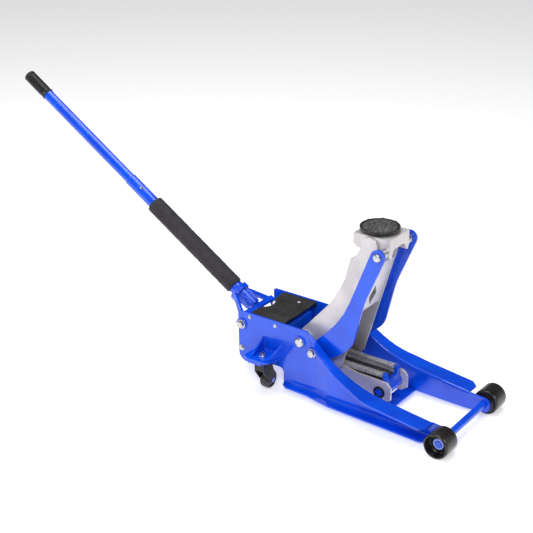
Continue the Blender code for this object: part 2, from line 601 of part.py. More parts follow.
def saddle_pieces():
    top, out, thin = BRACKET_TOP, BRACKET_OUT, BRACKET_T
    x0, x1 = -0.316, -0.211
    cheek = rounded([(x0, top - 0.003, 0), (x0, 0.455, 0.016), (-0.262, 0.452, 0.010),
                     (-0.240, 0.439, 0.008), (x1, 0.438, 0.012), (x1, top - 0.003, 0)])
    holes = [circle(ARM_TIP, 0.009 + RUN, 20), circle(LINK_TOP, 0.0085, 20)]
    cheeks = [prism(cheek, *sorted((s * (out - thin), s * out)), holes) for s in (-1, 1)]
    deck = prism(rounded([(x0, -out, 0.004), (x1, -out, 0.004), (x1, out, 0.004), (x0, out, 0.004)]),
                 top - thin, top, [circle((SADDLE[0], 0), 0.013 + RUN, 24)], axis="Z")
    lip = prism(rounded([(-out + 0.003, top - 0.003, 0), (-out + 0.003, 0.440, 0),
                         (-0.036, 0.440, 0.006), (-0.026, 0.461, 0.010), (0.026, 0.461, 0.010),
                         (0.036, 0.440, 0.006), (out - 0.003, 0.440, 0), (out - 0.003, top - 0.003, 0)]),
                x1 - 0.0055, x1 - 0.0005, axis="X")
    body = fuse(deck, cheeks[0], cheeks[1], lip)
    piece("saddle_bracket", body, "zinc", origin=at(ARM_TIP))
    seat = top + SIDE_PLAY
    piece("saddle", turned([
        (0.4745, 0), (0.4745, 0.013), (seat, 0.013), (seat, 0.0430), (0.4945, 0.0455),
        (0.4956, 0.0490), (0.4976, SADDLE_R - 0.0012), (0.4990, SADDLE_R), (0.5030, SADDLE_R),
        (SADDLE[1], SADDLE_R - 0.0015), (SADDLE[1], SADDLE_R - 0.0055),
        (0.5000, SADDLE_R - 0.0065), (0.5000, 0)],
        (SADDLE[0], 0, 0), (0, 0, 1), 36), "black_enamel", origin=(SADDLE[0], 0, 0.5000))
    piece("saddle_pad", turned([
        (0.5000 + GAP, 0), (0.5000 + GAP, SADDLE_R - 0.0070), (0.5030, SADDLE_R - 0.0074),
        (0.5036, SADDLE_R - 0.0084), (0.5036, 0)],
        (SADDLE[0], 0, 0), (0, 0, 1), 36), "rubber", origin=(SADDLE[0], 0, 0.5000))
    for name, side in (("right", -1), ("left", 1)):
        outer = LINK_IN + LINK_STEP + LINK_T + SIDE_PLAY
        body = turned([(0.040, 0), (0.040, 0.0085 - GAP), (out + GAP, 0.0085 - GAP),
                       (out + GAP, 0.0125), (LINK_IN + LINK_STEP - SIDE_PLAY, 0.0125),
                       (LINK_IN + LINK_STEP - SIDE_PLAY, 0.009), (outer, 0.009),
                       (outer, 0.0110), (outer + 0.0035, 0.0107), (outer + 0.006, 0.0085),
                       (outer + 0.0068, 0.0045), (outer + 0.0068, 0)],
                      at(LINK_TOP), (0, side, 0), 24)
        piece(f"link_top_bolt_{name}", body, "bright_steel", origin=at(LINK_TOP))


# --- hydraulics -------------------------------------------------------------------------
def hydraulics():
    block = prism(rounded([(-0.618, 0.070, 0.004), (-0.530, 0.070, 0.004), (-0.530, 0.140, 0.010),
                           (-0.512, 0.140, 0.006), (-0.512, 0.176, 0.008), (-0.618, 0.176, 0.008)],
                          step=30), 0.017 - PLATE_REAR_IN, PLATE_REAR_IN - 0.017)
    block = carve(block, rod((0, 0, RAM_Z), (1, 0, 0), CYL_REAR - GAP, -0.500, CYL_R + GAP, 28),
                  rod((0, 0, YOKE_PIVOT[1]), (1, 0, 0), -0.640, -0.606, 0.006 + RUN, 16),
                  rod((0, 0, 0.120), (1, 0, 0), -0.640, -0.562, 0.008 + RUN, 16))
    piece("power_unit", block, "blue_paint")
    bore = RAM_R + RUN
    tube = turned([
        (CYL_REAR, 0), (CYL_REAR, CYL_R), (CYL_FRONT - GAP, CYL_R), (CYL_FRONT - GAP, bore),
        (CYL_REAR + 0.012, bore), (CYL_REAR + 0.012, 0)], (0, 0, RAM_Z), (1, 0, 0), 28)
    anchors = [box(SPRING_REAR - 0.0065, SPRING_REAR - 0.0016,
                   *sorted((s * (CYL_R - 0.0015), s * (CYL_R + 0.0120))),
                   RAM_Z, SPRING_Z + SPRING_R) for s in (-1, 1)]
    piece("ram_cylinder", fuse(tube, *anchors), "cast_steel")
    piece("gland_nut", turned([
        (CYL_FRONT, bore), (CYL_FRONT, CYL_R + 0.0005), (CYL_FRONT + 0.006, CYL_R + 0.0005),
        (CYL_FRONT + 0.008, CYL_R - 0.0015), (CYL_FRONT + 0.008, bore)], (0, 0, RAM_Z), (1, 0, 0), 28),
        "black_enamel")
    face = CROSS_PIN[0] + 0.003
    piece("ram", turned([
        (-0.420, 0), (-0.420, RAM_R), (face - 0.009, RAM_R), (face - 0.008, RAM_R - 0.0015),
        (face - GAP, RAM_R - 0.0015), (face - GAP, 0)], (0, 0, RAM_Z), (1, 0, 0), 28),
        "cast_steel", origin=(CROSS_PIN[0], 0, RAM_Z))
    width = DRAG_IN - GAP
    clip, pin = DRAG_IN + DRAG_T + GAP, DRAG_IN + DRAG_T + 0.0022
    half = [(pin, 0), (pin, 0.0125), (clip + 0.0012, 0.0130), (clip + 0.0012, 0.0160),
            (clip, 0.0160), (clip, 0.0135), (width, 0.0135), (width, 0.019)]
    tube = turned([(-t, r) for t, r in half] + half[::-1], at(CROSS_PIN), (0, 1, 0), 28)
    tube = carve(tube, box(-0.260, face, -RAM_R - 0.008, RAM_R + 0.008,
                           RAM_Z - RAM_R - 0.004, 0.085))
    wide, narrow, tab = SPRING_Y + 0.0067, SPRING_Y - 0.0068, SPRING_Z + 0.0065
    head = prism(rounded([(-wide, 0.060, 0), (-wide, tab, 0.005), (-narrow, tab, 0.005),
                          (0.0025 - narrow, 0.089, 0.003), (narrow - 0.0025, 0.089, 0.003),
                          (narrow, tab, 0.005), (wide, tab, 0.005), (wide, 0.060, 0)], step=30),
                 face, face + 0.010,
                 [circle((s * SPRING_Y, SPRING_Z + 0.002), 0.0026, 10) for s in (-1, 1)], axis="X")
    piece("crosshead", fuse(tube, head), "blue_paint", origin=at(CROSS_PIN))
    for name, side in (("right", -1), ("left", 1)):
        link = rounded([(-0.196, 0.080, 0), (-0.209, 0.0935, 0.002), (-0.300, 0.097, 0),
                        (-0.360, 0.109, 0.020), (-0.404, 0.109, 0.012), (-0.404, 0.044, 0.012),
                        (-0.345, 0.044, 0.030), (-0.245, 0.036, 0.020), (-0.213, 0.034, 0.002),
                        (-0.196, 0.046, 0)])
        slot = (arc((LEVER_PIN[0] + SLOT_SHIFT, 0.092), 0.0105, 0, 180, 8)
                + arc((LEVER_PIN[0] + SLOT_SHIFT, 0.061), 0.0105, 180, 360, 8))
        plate = prism(link, *sorted((side * DRAG_IN, side * (DRAG_IN + DRAG_T))),
                      [circle(CROSS_PIN, 0.0135 + GAP, 24), slot])
        piece(f"drag_link_{name}", plate, "zinc", origin=at(CROSS_PIN))
        return_spring(f"return_spring_{name}", side * SPRING_Y, face)
    piece("pump_plunger", turned([
        (-0.6416, 0), (-0.6416, 0.007), (-0.640, 0.008), (-0.584, 0.008), (-0.584, 0)],
        (0, 0, 0.120), (1, 0, 0), 16), "bright_steel", origin=(-0.6416, 0, 0.120))
    stem = rod((0, 0, YOKE_PIVOT[1]), (1, 0, 0), -0.6235, -0.608, 0.006, 16)
    knob = box(-0.6230, -0.6190, -0.010, 0.010, YOKE_PIVOT[1] - 0.003, YOKE_PIVOT[1] + 0.003)
    piece("release_valve", fuse(stem, knob), "bright_steel", origin=at(YOKE_PIVOT))


def return_spring(name, y, face):
    """A close extension spring from the crosshead tab back past the cylinder."""
    front, rear = face - 0.0016, SPRING_REAR
    turns, per_turn, sides = 15, 6, 4
    steps = turns * per_turn
    length = front - rear
    sections = []
    for i in range(steps + 1):
        a = 2 * math.pi * i / per_turn
        ease = min(1.0, i / 4, (steps - i) / 4)
        radius = (SPRING_R - WIRE_R) * (0.25 + 0.75 * ease)
        out = Vector((0, math.cos(a), math.sin(a)))
        centre = Vector((rear + length * i / steps, y, SPRING_Z)) + out * radius
        sections.append([centre + (out * math.cos(b) + Vector((1, 0, 0)) * math.sin(b)) * WIRE_R
                         for b in (2 * math.pi * k / sides for k in range(sides))])
    bm = loft(sections)
    piece(name, bm, "cast_steel", origin=(rear, y, SPRING_Z))


def cover():
    """Sheet cover over the pump, bent down along its sides and front."""
    z, t, w = 0.1955, 0.0025, PLATE_REAR_Y - PLATE_T - GAP
    x0, x1 = -0.618, -0.508
    notch = arc((x0 - 0.012, 0.0), 0.034, 62, -62, 6)
    deck = prism([(x0, w), *[(x, y) for x, y in notch], (x0, -w), (x1, -w), (x1, w)],
                 z - t, z, [circle((-0.546, 0.050), 0.003 + GAP, 12)], axis="Z")
    walls = [box(x0 + 0.0005, x1 - 0.0005, *sorted((s * w, s * (w - t))), 0.178, z - t + 0.001)
             for s in (-1, 1)]
    lip = box(x1 - t, x1 - 0.0002, -w + 0.0005, w - 0.0005, z - 0.0055, z - t + 0.0012)
    holes = [rod((x, 0, h), (0, 1, 0), -0.1, 0.1, 0.003 + GAP, 12)
             for x, h in ((-0.613, 0.187), (-0.5295, 0.183))]
    body = carve(fuse(deck, walls[0], walls[1], lip), *holes)
    piece("pump_cover", body, "black_enamel")
    piece("cover_top_screw", turned([
        (0.1785, 0), (0.1785, 0.003), (z + GAP, 0.003), (z + GAP, 0.0055),
        (z + 0.0022, 0.0045), (z + 0.0030, 0.002), (z + 0.0030, 0)],
        (-0.546, 0.050, 0), (0, 0, 1), 12), "bright_steel")


# --- handle -----------------------------------------------------------------------------
ALONG = Vector((-math.cos(HANDLE_TILT), 0, math.sin(HANDLE_TILT)))
UPWARD = Vector((math.sin(HANDLE_TILT), 0, math.cos(HANDLE_TILT)))
PIVOT = Vector(at(YOKE_PIVOT))


def on_handle(s, y=0.0, up=0.0):
    """A point at s along the handle from the yoke pivot."""
    return PIVOT + ALONG * s + Vector((0, y, 0)) + UPWARD * up


def yoke():
    """Socket with a collar, two slanting legs to the pivot bosses, a foot bar and a pump lug."""
    socket = rod(PIVOT, ALONG, SOCKET[0], SOCKET[1], SOCKET[2], 24)
    c, reach = SOCKET[2], PLATE_REAR_IN - 0.009
    collar = hull([on_handle(s, y, u) for s in (0.076, 0.090)
                   for y, u in ((-0.015, -c - 0.0085), (0.015, -c - 0.0085), (c + 0.003, -0.015),
                                (c + 0.003, 0.017), (0.011, c + 0.0065), (-0.011, c + 0.0065),
                                (-c - 0.003, 0.017), (-c - 0.003, -0.015))])
    legs, bosses = [], []
    for side in (-1, 1):
        foot = ring_points(PIVOT + Vector((0, side * (PLATE_REAR_IN - 0.0025), 0)), (0, 1, 0), 0.0085)
        inner = ring_points(PIVOT + Vector((0, side * (PLATE_REAR_IN - 0.0075), 0)), (0, 1, 0), 0.0085)
        head = [on_handle(s, side * y, u) for s in (0.078, 0.086) for y in (0.018, 0.024)
                for u in (-0.008, 0.004)]
        legs.append(hull(foot + inner + head))
        bosses.append(rod(PIVOT, (0, side, 0), LINK_IN - 0.004, PLATE_REAR_IN - 0.001, 0.0145, 20))
    bar = hull([PIVOT + Vector((x, y, z)) for y in (-reach, reach)
                for x, z in ((-0.014, 0.007), (-0.002, 0.009), (-0.002, 0.015), (-0.016, 0.020),
                             (-0.018, 0.016))])
    stay = hull([PIVOT + Vector((x, y, z)) for y in (-0.012, 0.012)
                 for x, z in ((-0.016, 0.012), (-0.004, 0.016), (-0.024, 0.030), (-0.034, 0.022))])
    hangers = [hull([PIVOT + Vector((x, side * y, z)) for y in (reach - 0.005, reach + 0.001)
                     for x, z in ((-0.010, 0.0), (0.008, 0.0), (-0.012, -0.046), (-0.006, -0.046))])
               for side in (-1, 1)]
    lug = rod(PIVOT + Vector((-0.0105, 0, -0.040)), (0, 1, 0), -reach, reach, 0.0055, 16)
    body = fuse(socket, collar, legs[0], legs[1], bosses[0], bosses[1], bar, stay,
                hangers[0], hangers[1], lug)
    body = carve(body, rod(PIVOT, ALONG, 0.031, 0.130, LOWER_R + RUN, 24),
                 rod(PIVOT, (0, 1, 0), -0.1, 0.1, 0.008 + RUN, 20))
    piece("handle_yoke", body, "blue_paint", origin=tuple(PIVOT))


def handle():
    inside = UPPER_R + 0.0004
    lower = turned([(0.033, inside), (0.033, LOWER_R), (JOINT_S - 0.001, LOWER_R),
                    (JOINT_S, LOWER_R - 0.0006), (JOINT_S, inside)], PIVOT, ALONG, 24)
    button_axis = (UPWARD * 0.80 + Vector((0, -0.60, 0))).normalized()
    spot = on_handle(BUTTON_S)
    hole = rod(spot, button_axis, 0.005, 0.03, 0.0040 + RUN, 14)
    piece("handle_lower", carve(lower, hole), "blue_paint", origin=tuple(PIVOT))
    upper = turned([(0.446, 0.0135), (0.446, UPPER_R), (UPPER_END, UPPER_R), (UPPER_END, 0.0135)],
                   PIVOT, ALONG, 24)
    hole = rod(spot, button_axis, 0.005, 0.03, 0.0040 + RUN, 14)
    piece("handle_upper", carve(upper, hole), "blue_paint", origin=tuple(PIVOT))
    piece("snap_button", turned([
        (0.0080, 0), (0.0080, 0.0040), (LOWER_R + 0.0020, 0.0040),
        (LOWER_R + 0.0036, 0.0024), (LOWER_R + 0.0036, 0)], spot, button_axis, 14),
        "bright_steel", origin=tuple(spot))
    s0, s1, r = FOAM
    piece("foam_sleeve", turned([
        (s0, LOWER_R + GAP), (s0, r - 0.003), (s0 + 0.004, r), (s1 - 0.004, r), (s1, r - 0.003),
        (s1, LOWER_R + GAP)], PIVOT, ALONG, 28), "foam", origin=tuple(PIVOT))
    s0, s1, r = GRIP
    piece("handle_grip", turned([
        (UPPER_END + 0.0005, 0), (UPPER_END + 0.0005, UPPER_R + GAP), (s0, UPPER_R + GAP), (s0, r - 0.001),
        (s0 + 0.002, r), (s1 - 0.007, r), (s1 - 0.002, r - 0.004), (s1, r - 0.010), (s1, 0)],
        PIVOT, ALONG, 28), "rubber", origin=tuple(PIVOT))


# --- assembly ---------------------------------------------------------------------------
def centre_on_floor():
    """Moves everything so that the box's bottom centre is the world origin."""
    bpy.context.view_layer.update()
    corners = [o.matrix_world @ v.co for o in bpy.context.scene.objects for v in o.data.vertices]
    low = [min(c[k] for c in corners) for k in range(3)]
    high = [max(c[k] for c in corners) for k in range(3)]
    shift = Vector(((low[0] + high[0]) / 2, (low[1] + high[1]) / 2, low[2]))
    for item in bpy.context.scene.objects:
        item.location = item.location - shift


def main():
    for item in list(bpy.data.objects):
        bpy.data.objects.remove(item)
    frame_pieces()
    front_wheels()
    casters()
    lift_arm()
    radius_link("radius_link_right", -1)
    radius_link("radius_link_left", 1)
    saddle_pieces()
    hydraulics()
    cover()
    yoke()
    handle()
    centre_on_floor()


main()
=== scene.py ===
"""Looks of the trolley jack: finishes, detailed pieces, floor, light and camera."""

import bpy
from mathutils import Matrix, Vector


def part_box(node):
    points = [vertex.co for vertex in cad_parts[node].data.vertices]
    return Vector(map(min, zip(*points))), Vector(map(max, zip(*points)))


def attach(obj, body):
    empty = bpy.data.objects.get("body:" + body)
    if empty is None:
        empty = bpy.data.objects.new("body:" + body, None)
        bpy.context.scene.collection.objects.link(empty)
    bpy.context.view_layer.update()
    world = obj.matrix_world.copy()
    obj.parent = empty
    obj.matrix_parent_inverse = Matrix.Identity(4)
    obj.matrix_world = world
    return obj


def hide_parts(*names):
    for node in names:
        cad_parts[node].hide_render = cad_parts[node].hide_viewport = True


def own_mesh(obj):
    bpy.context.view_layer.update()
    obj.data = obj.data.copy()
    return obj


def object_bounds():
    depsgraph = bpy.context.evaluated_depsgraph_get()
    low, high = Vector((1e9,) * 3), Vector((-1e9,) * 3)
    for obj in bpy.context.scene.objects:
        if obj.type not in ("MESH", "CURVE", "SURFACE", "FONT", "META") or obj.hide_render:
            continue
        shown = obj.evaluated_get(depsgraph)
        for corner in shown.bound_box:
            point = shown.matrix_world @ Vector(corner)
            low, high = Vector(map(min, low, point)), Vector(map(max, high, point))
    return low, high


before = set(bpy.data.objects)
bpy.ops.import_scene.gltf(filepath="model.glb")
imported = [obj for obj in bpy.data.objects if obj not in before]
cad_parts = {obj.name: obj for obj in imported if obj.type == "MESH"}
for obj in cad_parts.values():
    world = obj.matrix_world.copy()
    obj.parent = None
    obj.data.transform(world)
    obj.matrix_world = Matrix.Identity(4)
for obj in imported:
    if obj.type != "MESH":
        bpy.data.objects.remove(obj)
CAD_BOX = [[float(value) for value in corner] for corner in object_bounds()]

import logging
import math
from dataclasses import dataclass
from enum import Enum
from typing import Callable, Iterable, Sequence

import bmesh
import bpy
from mathutils import Matrix, Vector

log = logging.getLogger("jack")

Colour = tuple[float, float, float]
Point = tuple[float, float, float]
Profile = Sequence[tuple[float, float]]

HANDLE_TILT = math.radians(33.2)    # the handle's slope at rest
UP = Vector((0, 0, 1))


class Side(Enum):
    """The jack's two sides, with the sign of Y on each."""

    RIGHT = ("right", -1.0)
    LEFT = ("left", 1.0)

    @property
    def word(self) -> str:
        """The side's name, as it ends a node's name."""
        return self.value[0]

    @property
    def sign(self) -> float:
        """The sign of Y on this side."""
        return self.value[1]


class Slot(Enum):
    """Material slots of the record."""

    BLUE = "blue_paint"
    ZINC = "zinc"
    BRIGHT = "bright_steel"
    STEEL = "cast_steel"
    NYLON = "black_nylon"
    ENAMEL = "black_enamel"
    FOAM = "foam"
    RUBBER = "rubber"


# --- shader building ----------------------------------------------------------------------
class Tree:
    """Adds and links shader nodes in one node tree."""

    def __init__(self, tree: bpy.types.NodeTree) -> None:
        """Keeps the tree.

        Args:
            tree: the node tree to build in.
        """
        self.tree = tree

    def add(self, kind: str, **settings: object) -> bpy.types.Node:
        """Adds a node.

        Args:
            kind: the node's type name without its ShaderNode prefix.
            settings: properties of the node, such as operation or data_type.

        Returns:
            The new node.
        """
        node = self.tree.nodes.new("ShaderNode" + kind)
        for key, value in settings.items():
            setattr(node, key, value)
        return node

    def feed(self, socket: bpy.types.NodeSocket, source: object) -> None:
        """Links a socket to another one, or sets its value.

        Args:
            socket: the input socket.
            source: an output socket, a number or a sequence of numbers.
        """
        if isinstance(source, bpy.types.NodeSocket):
            self.tree.links.new(source, socket)
        else:
            socket.default_value = source

    def math(self, operation: str, first: object, second: object = 0.0,
             clamp: bool = False) -> bpy.types.NodeSocket:
        """Adds a Math node.

        Args:
            operation: Blender's name for the operation.
            first: the first value or socket.
            second: the second value or socket.
            clamp: whether the result is kept within 0 and 1.

        Returns:
            The node's output.
        """
        node = self.add("Math", operation=operation, use_clamp=clamp)
        self.feed(node.inputs[0], first)
        self.feed(node.inputs[1], second)
        return node.outputs[0]

    def ramp(self, value: object, low: float, high: float, out_low: float = 0.0,
             out_high: float = 1.0) -> bpy.types.NodeSocket:
        """Maps a value smoothly from one range to another.

        Args:
            value: the value or socket.
            low: where the input range starts.
            high: where it ends.
            out_low: the output at low.
            out_high: the output at high.

        Returns:
            The mapped output.
        """
        node = self.add("MapRange", interpolation_type="SMOOTHSTEP")
        self.feed(node.inputs["Value"], value)
        for name, number in (("From Min", low), ("From Max", high), ("To Min", out_low),
                             ("To Max", out_high)):
            self.feed(node.inputs[name], number)
        return node.outputs["Result"]

    def mix(self, factor: object, first: object, second: object) -> bpy.types.NodeSocket:
        """Mixes two colours.

        Args:
            factor: 0 for the first colour, 1 for the second.
            first: a colour or socket.
            second: a colour or socket.

        Returns:
            The mixed colour.
        """
        node = self.add("Mix", data_type="RGBA")
        self.feed(node.inputs["Factor"], factor)
        for index, source in ((6, first), (7, second)):
            if isinstance(source, tuple) and len(source) == 3:
                source = (*source, 1.0)
            self.feed(node.inputs[index], source)
        return node.outputs[2]

    def noise(self, scale: object, detail: float = 3.0, stretch: Colour = (1.0, 1.0, 1.0),
              roughness: float = 0.5) -> bpy.types.NodeSocket:
        """Adds noise on Object coordinates.

        Args:
            scale: cells per metre.
            detail: octaves of finer noise.
            stretch: how much each axis is scaled before the noise.
            roughness: how strong the finer octaves are.

        Returns:
            The noise, about 0.5 on average.
        """
        place = self.add("TexCoord")
        turn = self.add("Mapping")
        turn.inputs["Scale"].default_value = stretch
        self.feed(turn.inputs["Vector"], place.outputs["Object"])
        node = self.add("TexNoise")
        self.feed(node.inputs["Vector"], turn.outputs["Vector"])
        self.feed(node.inputs["Scale"], scale)
        self.feed(node.inputs["Detail"], detail)
        self.feed(node.inputs["Roughness"], roughness)
        return node.outputs["Fac"]


class Effect:
    """A shader node group with named inputs and outputs, built once."""

    def __init__(self, name: str, inputs: dict[str, object], outputs: dict[str, str],
                 build: Callable[[Tree, dict, dict], None]) -> None:
        """Makes the group.

        Args:
            name: the group's name.
            inputs: input names with their default values.
            outputs: output names with their socket types.
            build: draws the inside, given the tree, the input and the output sockets.
        """
        self.group = bpy.data.node_groups.new(name, "ShaderNodeTree")
        for label, value in inputs.items():
            kind = "NodeSocketFloat" if isinstance(value, float) else "NodeSocketColor"
            socket = self.group.interface.new_socket(label, in_out="INPUT", socket_type=kind)
            socket.default_value = value if isinstance(value, float) else (*value, 1.0)
        for label, kind in outputs.items():
            self.group.interface.new_socket(label, in_out="OUTPUT", socket_type=kind)
        tree = Tree(self.group)
        start = self.group.nodes.new("NodeGroupInput")
        end = self.group.nodes.new("NodeGroupOutput")
        build(tree, {s.name: s for s in start.outputs if s.name},
              {s.name: s for s in end.inputs if s.name})

    def place(self, tree: Tree, **values: object) -> dict[str, bpy.types.NodeSocket]:
        """Places the group in a material.

        Args:
            tree: the material's tree.
            values: input values or sockets; an underscore stands for a space.

        Returns:
            The group's outputs by name.
        """
        node = tree.tree.nodes.new("ShaderNodeGroup")
        node.node_tree = self.group
        for label, value in values.items():
            socket = node.inputs[label.replace("_", " ")]
            if isinstance(value, tuple) and len(value) == 3:
                value = (*value, 1.0)
            tree.feed(socket, value)
        return {s.name: s for s in node.outputs}


def build_edge(tree: Tree, given: dict, out: dict) -> None:
    """Rounds the shading of sharp edges and masks edges in patches, for rubbed wear and for
    painted edge highlights.

    Args:
        tree: the group's tree.
        given: the group's inputs.
        out: the group's outputs.
    """
    bevel = tree.add("Bevel", samples=5)
    tree.feed(bevel.inputs["Radius"], given["Radius"])
    flat = tree.add("NewGeometry")
    dot = tree.add("VectorMath", operation="DOT_PRODUCT")
    tree.feed(dot.inputs[0], bevel.outputs["Normal"])
    tree.feed(dot.inputs[1], flat.outputs["Normal"])
    # mask of sharp edges: rubbed wear on most finishes, a painted edge highlight on the blue
    # enamel, the crinkle enamel and the nylon
    edge = tree.ramp(dot.outputs["Value"], 0.97, 0.70)
    broken = tree.ramp(tree.noise(given["Scale"], 6.0, roughness=0.7), 0.47, 0.62)
    worn = tree.math("MULTIPLY", edge, broken)
    tree.feed(out["Mask"], tree.math("MULTIPLY", worn, given["Wear"], clamp=True))
    tree.feed(out["Normal"], bevel.outputs["Normal"])


def build_mottle(tree: Tree, given: dict, out: dict) -> None:
    """Varies a colour between two tones, broadly and finely.

    Args:
        tree: the group's tree.
        given: the group's inputs.
        out: the group's outputs.
    """
    broad = tree.ramp(tree.noise(given["Scale"], 2.0), 0.35, 0.68)
    fine = tree.noise(tree.math("MULTIPLY", given["Scale"], 23.0), 4.0)
    both = tree.math("ADD", tree.math("MULTIPLY", broad, 0.75), tree.math("MULTIPLY", fine, 0.25))
    share = tree.math("MULTIPLY", both, given["Amount"], clamp=True)
    tree.feed(out["Colour"], tree.mix(share, given["Colour"], given["Second"]))
    tree.feed(out["Share"], share)


def build_dust(tree: Tree, given: dict, out: dict) -> None:
    """Lays fine dust on surfaces that face up.

    Args:
        tree: the group's tree.
        given: the group's inputs.
        out: the group's outputs.
    """
    flat = tree.add("NewGeometry")
    split = tree.add("SeparateXYZ")
    tree.feed(split.inputs[0], flat.outputs["Normal"])
    up = tree.ramp(split.outputs["Z"], 0.2, 1.0, 0.25, 1.0)
    cloud = tree.ramp(tree.noise(34.0, 6.0, roughness=0.65), 0.42, 0.72)
    mask = tree.math("MULTIPLY", tree.math("MULTIPLY", up, cloud), given["Amount"], clamp=True)
    tree.feed(out["Colour"], tree.mix(mask, given["Colour"], given["Dust"]))
    tree.feed(out["Mask"], mask)


def build_scratch(tree: Tree, given: dict, out: dict) -> None:
    """Fine crossing scratches, which on the nylon also paint highlight streaks.

    Args:
        tree: the group's tree.
        given: the group's inputs.
        out: the group's outputs.
    """
    lines = []
    for stretch in ((14.0, 1.0, 0.8), (1.0, 0.7, 16.0)):
        grain = tree.noise(given["Scale"], 2.0, stretch)
        off = tree.math("ABSOLUTE", tree.math("SUBTRACT", grain, 0.5))
        lines.append(tree.ramp(off, 0.012, 0.0))
    both = tree.math("MAXIMUM", lines[0], lines[1])
    patch = tree.ramp(tree.noise(9.0, 2.0), 0.45, 0.62)
    tree.feed(out["Mask"], tree.math("MULTIPLY", tree.math("MULTIPLY", both, patch),
                                     given["Amount"], clamp=True))


FLOAT, COLOUR, VECTOR = "NodeSocketFloat", "NodeSocketColor", "NodeSocketVector"
# edge mask: rubbed wear, and a painted edge highlight on some finishes
EDGE_WEAR_AND_HIGHLIGHT = Effect("rubbed edge", {"Radius": 0.0012, "Scale": 220.0, "Wear": 0.5},
              {"Mask": FLOAT, "Normal": VECTOR}, build_edge)
MOTTLE = Effect("mottle", {"Colour": (0.5, 0.5, 0.5), "Second": (0.4, 0.4, 0.4), "Scale": 14.0,
                           "Amount": 1.0}, {"Colour": COLOUR, "Share": FLOAT}, build_mottle)
DUST = Effect("dust", {"Colour": (0.5, 0.5, 0.5), "Dust": (0.55, 0.53, 0.50), "Amount": 0.1},
              {"Colour": COLOUR, "Mask": FLOAT}, build_dust)
# scratch mask: real scratches, and painted highlight streaks on the nylon
SCRATCH_AND_HIGHLIGHT = Effect("fine scratches", {"Scale": 60.0, "Amount": 0.3}, {"Mask": FLOAT}, build_scratch)


# --- finishes -----------------------------------------------------------------------------
@dataclass(frozen=True)
class Finish:
    """A hard finish: a coloured skin over a base, with worn edges, scratches and dust; on some
    finishes the edges and scratches carry a painted highlight instead.
    """

    name: str
    slot: Slot
    colour: Colour
    second: Colour
    # colour of rubbed edges and scratches: bare metal on most finishes, a painted highlight colour
    # on the blue enamel, the crinkle enamel and the nylon
    bare: Colour = (0.42, 0.41, 0.40)
    roughness: float = 0.3
    rough_spread: float = 0.08
    metallic: float = 0.0
    bare_metal: float = 1.0
    coat: float = 0.0
    specular: float = 0.5
    mottle: float = 14.0
    # amounts of that edge and scratch colour, which is a painted highlight on some finishes
    wear: float = 0.5
    edge: float = 0.0012
    scratch: float = 0.2
    dust: float = 0.05
    grain_scale: float = 900.0
    grain_depth: float = 0.00002
    grain_detail: float = 3.0
    brushed: Colour = (1.0, 1.0, 1.0)
    cells: bool = False

    def material(self) -> bpy.types.Material:
        """Builds the material, or finds it if it was built before.

        Returns:
            The material.
        """
        found = bpy.data.materials.get(self.name)
        if found:
            return found
        made = bpy.data.materials.new(self.name)
        made.use_nodes = True
        tree = Tree(made.node_tree)
        shader = made.node_tree.nodes["Principled BSDF"]
        edge = EDGE_WEAR_AND_HIGHLIGHT.place(tree, Radius=self.edge, Wear=self.wear)
        tone = MOTTLE.place(tree, Colour=self.colour, Second=self.second, Scale=self.mottle)
        marks = SCRATCH_AND_HIGHLIGHT.place(tree, Amount=self.scratch)
        # mask of rubbed edges and scratches; on some finishes it lays a painted highlight
        bare = tree.math("MAXIMUM", edge["Mask"], tree.math("MULTIPLY", marks["Mask"], 0.5))
        skin = tree.mix(bare, tone["Colour"], self.bare)
        dusty = DUST.place(tree, Colour=skin, Amount=self.dust)
        tree.feed(shader.inputs["Base Color"], dusty["Colour"])
        rough = tree.ramp(tree.noise(self.mottle * 3.0, 5.0), 0.3, 0.7,
                          self.roughness - self.rough_spread, self.roughness + self.rough_spread)
        rough = tree.math("ADD", rough, tree.math("MULTIPLY", dusty["Mask"], 0.5), clamp=True)
        tree.feed(shader.inputs["Roughness"], rough)
        if abs(self.bare_metal - self.metallic) > 0.05:
            tree.feed(shader.inputs["Metallic"],
                      tree.ramp(bare, 0.0, 1.0, self.metallic, self.bare_metal))
        else:
            shader.inputs["Metallic"].default_value = self.metallic
        shader.inputs["Coat Weight"].default_value = self.coat
        shader.inputs["Coat Roughness"].default_value = 0.06
        shader.inputs["Specular IOR Level"].default_value = self.specular
        bump = tree.add("Bump")
        bump.inputs["Strength"].default_value = 0.6
        bump.inputs["Distance"].default_value = self.grain_depth * 20.0
        tree.feed(bump.inputs["Height"], self.relief(tree, bare))
        tree.feed(bump.inputs["Normal"], edge["Normal"])
        tree.feed(shader.inputs["Normal"], bump.outputs["Normal"])
        return made

    def relief(self, tree: Tree, bare: bpy.types.NodeSocket) -> bpy.types.NodeSocket:
        """Height of the surface's grain, lower under the edge and scratch mask, which is
        rubbed-off skin on most finishes and a painted highlight on some.

        Args:
            tree: the material's tree.
            bare: the mask of bare patches and painted highlights.

        Returns:
            The height.
        """
        if self.cells:
            place = tree.add("TexCoord")
            cell = tree.add("TexVoronoi")
            tree.feed(cell.inputs["Vector"], place.outputs["Object"])
            cell.inputs["Scale"].default_value = self.grain_scale
            height = cell.outputs["Distance"]
        else:
            height = tree.noise(self.grain_scale, self.grain_detail, self.brushed)
        return tree.math("SUBTRACT", height, tree.math("MULTIPLY", bare, 0.6))


